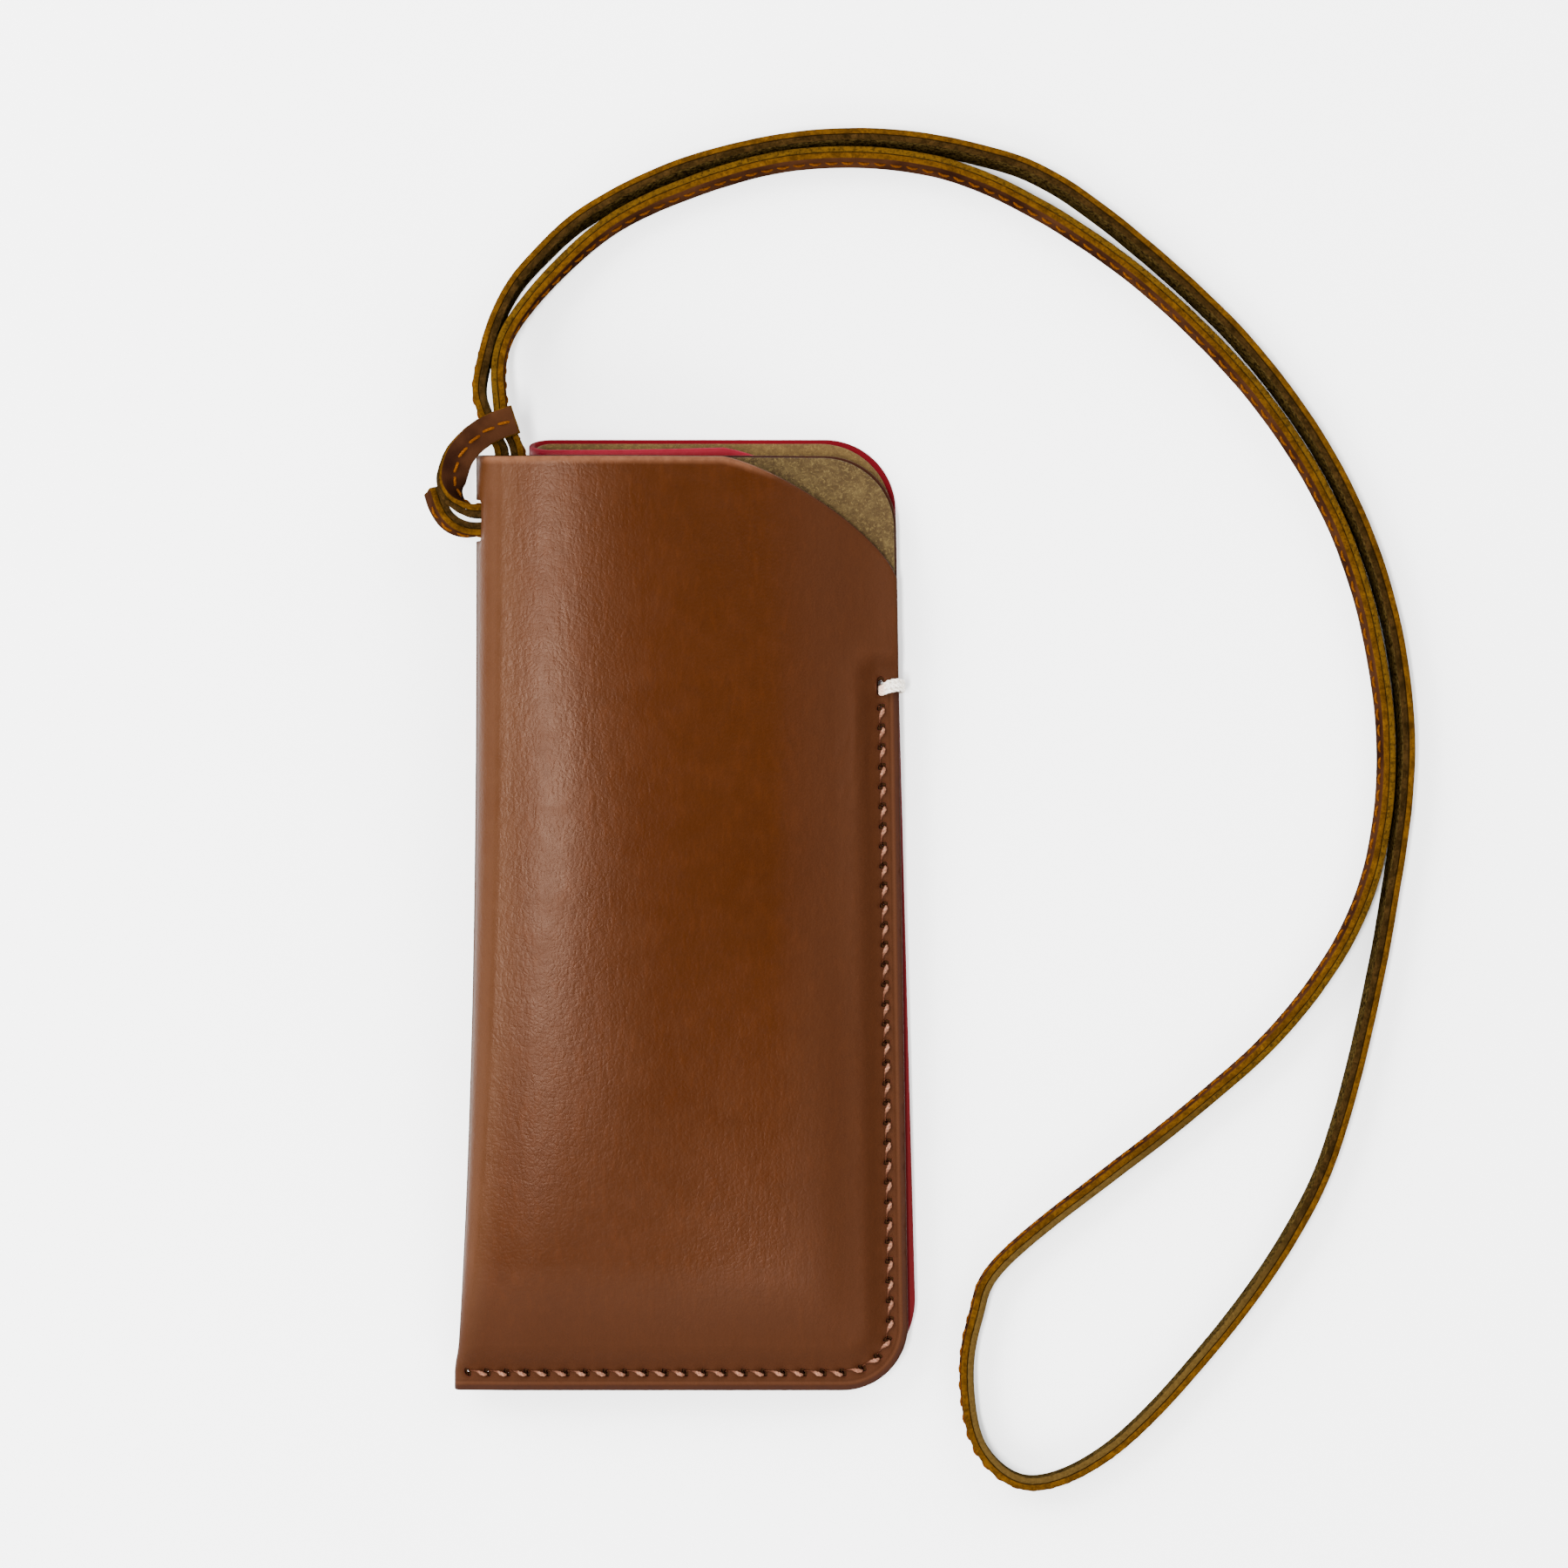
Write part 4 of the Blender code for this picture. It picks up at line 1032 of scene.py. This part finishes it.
def twisted_thread(line, diameter, lay, sides, groove=0.3, strands=2):
    """A thread of twisted strands along a line: (vertices, faces, groove of each vertex)."""
    _, side, up = carried_frames(line)
    angles = np.linspace(0, 2 * math.pi, sides, endpoint=False)
    spun = angles[None, :] - (2 * math.pi * lengths_along(line) / lay)[:, None]
    lobe = np.abs(np.cos(strands / 2 * spun))
    radius = diameter / 2 * (1 - groove + groove * lobe)
    rings = line[:, None, :] + side[:, None, :] * (radius * np.cos(angles))[..., None] \
        + up[:, None, :] * (radius * np.sin(angles))[..., None]
    return rings.reshape(-1, 3), tube_faces(len(line), sides), (1 - lobe).reshape(-1)


def joined(parts):
    """Several (vertices, faces, values) as one."""
    vertices, faces, values, first = [], [], [], 0
    for v, f, g in parts:
        vertices.append(v)
        faces += [tuple(first + i for i in face) for face in f]
        values.append(g)
        first += len(v)
    return np.concatenate(vertices), faces, np.concatenate(values)


def below_the_seam(x, y):
    return np.where(goes_through(REAR, x, y), table_side(x, y), FRONT.underside(x, y))


def saddle_thread(name, first_on_top, material):
    """One of the two threads, over the top of every second gap and sinking into its holes."""
    centres, along = stitch_holes()
    reach = THREAD_D / 2
    below = below_the_seam(*centres.T)
    points, ends = [], []
    for i, centre in enumerate(centres):
        goes_down = (i % 2 == 0) == first_on_top
        run_end = min(i + 1, len(centres) - 1) if goes_down else max(i - 1, 0)
        axis = slit_axis(along[i])
        shift = axis * THREAD_ALONG_SLIT - np.array([-axis[1], axis[0]]) * THREAD_APART
        x, y = centre + shift * (1 if goes_down else -1)
        high = np.array((x, y, float(FRONT.topside(x, y)) - reach * 0.3))
        low = np.array((x, y, float(min(below[i], below[run_end])) - reach * 0.9))
        ends.append((high, low) if goes_down else (low, high))
    for i, (first, second) in enumerate(ends):
        points += [(*first, 0.5, 0.0), (*second, 0.5, 0.0)]
        if i + 1 < len(ends):
            following = ends[i + 1][0]
            on_top = second[2] > (first[2] + second[2]) / 2
            for share, lift, sideways, width, tone in STITCH_FORM:
                middle = second + (following - second) * share
                middle[2] += lift if on_top else -0.00008
                middle[:2] += np.array([along[i][1], -along[i][0]]) * sideways
                points.append((*middle, width, tone))
    line = chaikin(np.array(points), 2)
    lengths = lengths_along(line[:, :3])
    line = sampled(line, lengths, np.arange(0, lengths[-1], 0.00022))
    vertices, faces, groove = twisted_thread(line[:, :3], THREAD_D * 1.06, 0.0013, STITCH_SIDES)
    repeated = np.repeat(line, STITCH_SIDES, axis=0)
    middles, widths, tones = repeated[:, :3], repeated[:, 3:4], repeated[:, 4]
    return mesh_object(name, middles + (vertices - middles) * widths, faces, material,
                       {"groove": groove, "tone": tones})


def bar_tack(name, material):
    """Three crowded turns of heavy thread that hump over the sewn edge and dip to the slot."""
    edge = float(sewn_edge_x(TACK_Y))
    bend = TACK_LOOK_D / 2
    hole_x, outer_x = edge - STITCH_INSET, edge + TACK_LOOK_D / 2 + 0.00028
    high = float(FRONT.topside(edge, TACK_Y)) + TACK_LOOK_D / 2 + 0.0001
    low = float(table_side(edge, TACK_Y)) - TACK_THREAD_D / 2 - 0.0001
    turn = [
        (hole_x, low + bend, -0.5, 0.6), (hole_x, high - bend * 1.6, -0.8, 0.6),
        (hole_x + bend * 0.8, high + 0.0001, -0.6, 0.7),
        (hole_x * 0.7 + outer_x * 0.3, high + 0.0008, 0.1, 1.0),
        (hole_x * 0.35 + outer_x * 0.65, high + 0.0009, 0.45, 1.05),
        (outer_x - bend, high + 0.0004, 0.5, 0.9),
        (outer_x, high - bend, 0.45, 0.8), (outer_x, low + bend, 0.3, 0.8),
        (outer_x - bend, low, 0.1, 0.8), (hole_x + bend, low, -0.3, 0.6),
    ]
    points = []
    for i in range(len(turn) * TACK_TURNS):
        x, z, aslant, apart = turn[i % len(turn)]
        y = TACK_Y - TACK_LOOK_PITCH * apart * ((i - 0.5) / len(turn) - (TACK_TURNS - 1) / 2)
        bulge = 0.00045 if i // len(turn) == 1 else 0.0
        points.append((x, y + aslant * 0.001, z + bulge * (z > high)))
    line = chaikin(np.array(points), 2)
    line = along_line(line, np.arange(0, line_length(line), 0.00014))
    vertices, faces, groove = twisted_thread(line, TACK_LOOK_D, 0.0026, 16, 0.3, 3)
    tone = 0.35 + 0.65 * smooth((vertices[:, 0] - hole_x - 0.0001) / 0.0012)
    return mesh_object(name, vertices, faces, material, {"groove": groove, "tone": tone})


def spline_through(route, step):
    route = np.array(route, float)
    padded = np.concatenate([[2 * route[0] - route[1]], route, [2 * route[-1] - route[-2]]])
    fine = []
    for a, b, c, d in zip(padded, padded[1:], padded[2:], padded[3:]):
        for t in np.arange(0, 1, 0.05):
            fine.append(0.5 * (2 * b + (c - a) * t + (2 * a - 5 * b + 4 * c - d) * t**2
                               + (3 * b - a - 3 * c + d) * t**3))
    fine = np.array(fine + [route[-1]])
    lengths = lengths_along(fine[:, :3])
    return sampled(fine, lengths, np.linspace(0, lengths[-1], max(3, round(lengths[-1] / step))))


def strap_thickness():
    return 2 * PLY + PLY_GAP


def loop_line():
    line = spline_through(LOOP_ROUTE, LOOP_STEP)
    for _ in range(3):
        line[1:-1] = (line[:-2] + 2 * line[1:-1] + line[2:]) / 4
    share = np.linspace(0, 1, len(line))
    ends = smooth(share * LEAN_FADE) * smooth((1 - share) * LEAN_FADE)
    lean = -STRAP_LEAN * np.cos(math.pi * share) * ends
    lying = STRAP_WIDTH / 2 * np.cos(lean) + strap_thickness() / 2 * np.abs(np.sin(lean))
    line[:, 2] += lying + LAYER_GAP / 2
    return line, lean


def tail_line(route, loop_end, loop_next):
    back = (loop_end - loop_next) / np.linalg.norm(loop_end - loop_next)
    meeting = [(*(loop_end + back * away), 0.0) for away in (TAIL_LEAD, LAYER_GAP)]
    near_end = math.dist(route[-1][:3], loop_end) < math.dist(route[0][:3], loop_end)
    whole = list(route) + meeting if near_end else meeting[::-1] + list(route)
    line = spline_through(whole, TAIL_STEP)
    return line[:, :3], np.radians(line[:, 3])


def strap_frames(line, lean):
    """The directions out of the grain side and across the strap, at each point of its line."""
    ahead = np.gradient(line, axis=0)
    ahead /= np.linalg.norm(ahead, axis=1)[:, None]
    left = np.stack([-ahead[:, 1], ahead[:, 0], 0 * ahead[:, 0]], axis=1)
    left /= np.linalg.norm(left, axis=1)[:, None]
    up = np.cross(ahead, left)
    c, s = np.cos(lean)[:, None], np.sin(lean)[:, None]
    return left * c + up * s, up * c - left * s


def ply_corner(surface, top, side, face, angles):
    """One rounded long edge of a ply, from angles off its face. top and side are 1 or -1."""
    flat, r = STRAP_WIDTH / 2 - PLY_ROUNDING, PLY_ROUNDING
    turns = [math.radians(a) for a in angles]
    return [(surface - top * r + top * r * math.cos(t), side * flat + side * r * math.sin(t), face,
             a / PLY_ANGLES[-1]) for a, t in zip(angles, turns)]


def ply_section(grain_side):
    """A ply's cross-section, anticlockwise: (towards the grain, across, face value, cut-edge value)."""
    fill = PLY_GAP * 0.45
    up, down = (PLY / 2, PLY / 2 + fill) if grain_side else (PLY / 2 + fill, PLY / 2)
    half, flat = STRAP_WIDTH / 2, STRAP_WIDTH / 2 - PLY_ROUNDING
    face = 1.0 if grain_side else 0.0
    points = []
    for across in np.linspace(flat, -flat, 13):
        sunk = 0.00012 * math.exp(-((across / 0.0006) ** 2)) if grain_side else 0.0
        points.append((up - sunk, across, face, 0.0))
    points += ply_corner(up, 1, -1, face, PLY_ANGLES) + [(0.0, -half, 0.5, 1.0)]
    points += ply_corner(-down, -1, -1, 0.0, PLY_ANGLES[::-1])
    points += [(-down, across, 0.0, 0.0) for across in np.linspace(-flat, flat, 9)]
    points += ply_corner(-down, -1, 1, 0.0, PLY_ANGLES) + [(0.0, half, 0.5, 1.0)]
    return np.array(points + ply_corner(up, 1, 1, face, PLY_ANGLES[::-1]))


def strap_ply(name, line, lean, off_middle, grain_side, material, seed, opened, gilded):
    grain, wide = strap_frames(line, lean)
    section = ply_section(grain_side)
    count, sides = len(line), len(section)
    at = lengths_along(line)
    vertices = np.zeros((count, sides, 3))
    for i in range(count):
        for k, (towards, across, _, cut) in enumerate(section):
            fray = noise.noise(Vector((at[i] * 900, across * 600, seed))) * 0.00009 * cut
            wavy = noise.noise(Vector((at[i] * 140, 0.3, 4.0))) * 0.00012
            off = off_middle + towards + wavy * (0.4 + 0.6 * cut)
            vertices[i, k] = line[i] + grain[i] * off + wide[i] * (across + math.copysign(fray, across))
    face_values, cuts = np.tile(section[:, 2], count), np.tile(section[:, 3], count)
    cuts[:sides] = 1.0
    cuts[-sides:] = 1.0
    return mesh_object(name, vertices.reshape(-1, 3), tube_faces(count, sides), material,
                       {"face": face_values, "cut": cuts, "open": np.repeat(opened, sides),
                        "gilt": np.repeat(gilded, sides)})


def strap_stitches(name, line, lean, material):
    """Short stitches down the middle of the strap's grain side."""
    ways = (line, *strap_frames(line, lean))
    lengths = lengths_along(line)
    pitch = LANYARD_STITCH_PITCH
    share = np.linspace(0, 1, LANYARD_STITCH_POINTS)
    lift = strap_thickness() / 2 - 0.00042 + 0.00052 * np.sin(math.pi * share) ** 0.6
    slant = (share - 0.5) * 0.00025
    parts = []
    start = pitch * 0.4
    while start + pitch * 0.8 < lengths[-1]:
        at = start + np.linspace(0, pitch * 0.74, LANYARD_STITCH_POINTS)
        middle, out, across = [sampled(way, lengths, at) for way in ways]
        path = middle + out * lift[:, None] + across * slant[:, None]
        parts.append(twisted_thread(path, 0.00056, 0.0011, 8, 0.25))
        start += pitch
    vertices, faces, groove = joined(parts)
    return mesh_object(name, vertices, faces, material, {"groove": groove, "tone": np.ones(len(vertices))})


def stands_for(made, node):
    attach(made, "root")
    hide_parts(node)


def lanyard_stretch(name, line, lean, seed, opened=0.0, gilded=0.0):
    """Both plies and the stitches of one stretch. The backing's edge is painted paler where the stretch lies
    open, as painted light, and pales where it is gilded.
    """
    off = (PLY + PLY_GAP) / 2
    never = np.zeros(len(line))
    grain = strap_ply(name + "_grain_ply_look", line, lean, off, True, STRAP_GRAIN, seed, never, never)
    backing = strap_ply(name + "_backing_ply_look", line, lean, -off, False, STRAP_BACKING, seed + 2,
                        never + opened, never + gilded)
    stitches = strap_stitches(name + "_thread_look", line, lean, STRAP_THREAD)
    stands_for(grain, name + "_grain_ply")
    stands_for(backing, name + "_backing_ply")
    stands_for(stitches, name + "_thread")
    return grain, backing, stitches


def pocket_pieces(name, pocket, slots, outer, rise, leather, lining):
    holes = sewn_loops(pocket) + slots
    shell = sheet(name + "_leather_look", pocket, False, holes, 0.0, LEATHER, outer, rise,
                  EDGE_ROUNDING, leather)
    skin = sheet(name + "_lining_look", pocket, True, slots, LEATHER + GLUE_GAP, LINING, rise, rise,
                 LINING_ROUNDING, lining)
    stands_for(shell, name + "_leather")
    stands_for(skin, name + "_lining")


def floor():
    made = Look("pale_floor", (0.92, 0.92, 0.92, 1)).done(0.9, 0.1)
    size = FLOOR_SIZE
    corners = [(-size, -size, 0), (size, -size, 0), (size, size, 0), (-size, size, 0)]
    plane = mesh_object("floor", corners, [(0, 1, 2, 3)], made)


def area_light(name, place, target, width, height, power):
    data = bpy.data.lights.new(name, "AREA")
    data.shape = "RECTANGLE"
    data.size = width
    data.size_y = height
    data.energy = power
    made = linked(name, data)
    made.location = place
    made.rotation_euler = (Vector(target) - Vector(place)).to_track_quat("-Z", "Y").to_euler()


def studio():
    world = bpy.data.worlds.new("studio")
    world.use_nodes = True
    world.node_tree.nodes["Background"].inputs["Color"].default_value = (1, 1, 1, 1)
    world.node_tree.nodes["Background"].inputs["Strength"].default_value = 0.1
    bpy.context.scene.world = world
    for light in LIGHTS:
        area_light(*light)


camera()
line, lean = loop_line()
# The seventh dye of each ply is painted light for the backing's edge along the open stretch of the loop
STRAP_GRAIN = strap_leather(
    "lanyard_grain", dyes("42261A 70482E 5E3E12 9A6E24 2A1C10 4A3418 94682A 9A6E24"), 0.5)
STRAP_BACKING = strap_leather(
    "lanyard_backing", dyes("3A2A12 5E4420 32240F 6A4E28 281C0C 786234 846A38 8E6A22"), 0.8)
STRAP_THREAD = thread_material("lanyard_thread_look", dyes("6A3214 7A4414 B87824"), 0.6)
share_along = np.linspace(0, 1, len(line))
# single marks the open stretch of the loop, whose backing edge gets painted light; inner_half marks the
# gilded half
single = smooth((share_along - 0.41) / 0.04) * smooth((0.62 - share_along) / 0.04)
inner_half = smooth((share_along - 0.58) / 0.06)
loop_pieces = lanyard_stretch("lanyard_loop", line, lean, 3, single, inner_half)
lanyard_stretch("lanyard_upper_tail", *tail_line(UPPER_TAIL_ROUTE, line[0], line[TAIL_MEETING]), 11)
lanyard_stretch("lanyard_lower_tail", *tail_line(LOWER_TAIL_ROUTE, line[-1], line[-1 - TAIL_MEETING]), 17)

# Dyes: dark, middle, light, painted light for the fold, edge paint, flesh, and the painted highlight of the
# welt and the mouth's rim
BROWN = smooth_leather("brown_leather", dyes("532706 6B3812 7E441A 784C2C 44221F 7A5A38 A67454"), 0.18)
RED = smooth_leather("red_leather", dyes("800A1E A81030 B42040 A01030 940A24 940A24 B42044"), 0.12)
SUEDE = suede("tan_suede", dyes("5E4826 7A6034 A6905A"))
# REAR_SUEDE is paler than the front suede: painted light in the shade between the leaves
REAR_SUEDE = suede("rear_suede", dyes("7A5E34 967A48 B09458"))
pocket_pieces("rear_pocket", REAR, [], rear_outer, nothing, RED, REAR_SUEDE)
pocket_pieces("front_pocket", FRONT, [lanyard_slot_loop()], front_outer, front_rise, BROWN, SUEDE)
SEAM = thread_material("seam_thread_look", dyes("4E2410 A06C54 E8B89C"), 0.5)
for piece_name, on_top in (("seam_thread_front", True), ("seam_thread_back", False)):
    stands_for(saddle_thread(piece_name + "_look", on_top, SEAM), piece_name)
WHITE = thread_material(
    "tack_thread_look", [rgb("D8A888", 0.4), rgb("B4A898", 0.5), rgb("FFFDF8", 0.46)], 0.6)
stands_for(bar_tack("bar_tack_thread_look", WHITE), "bar_tack_thread")

floor()
studio()
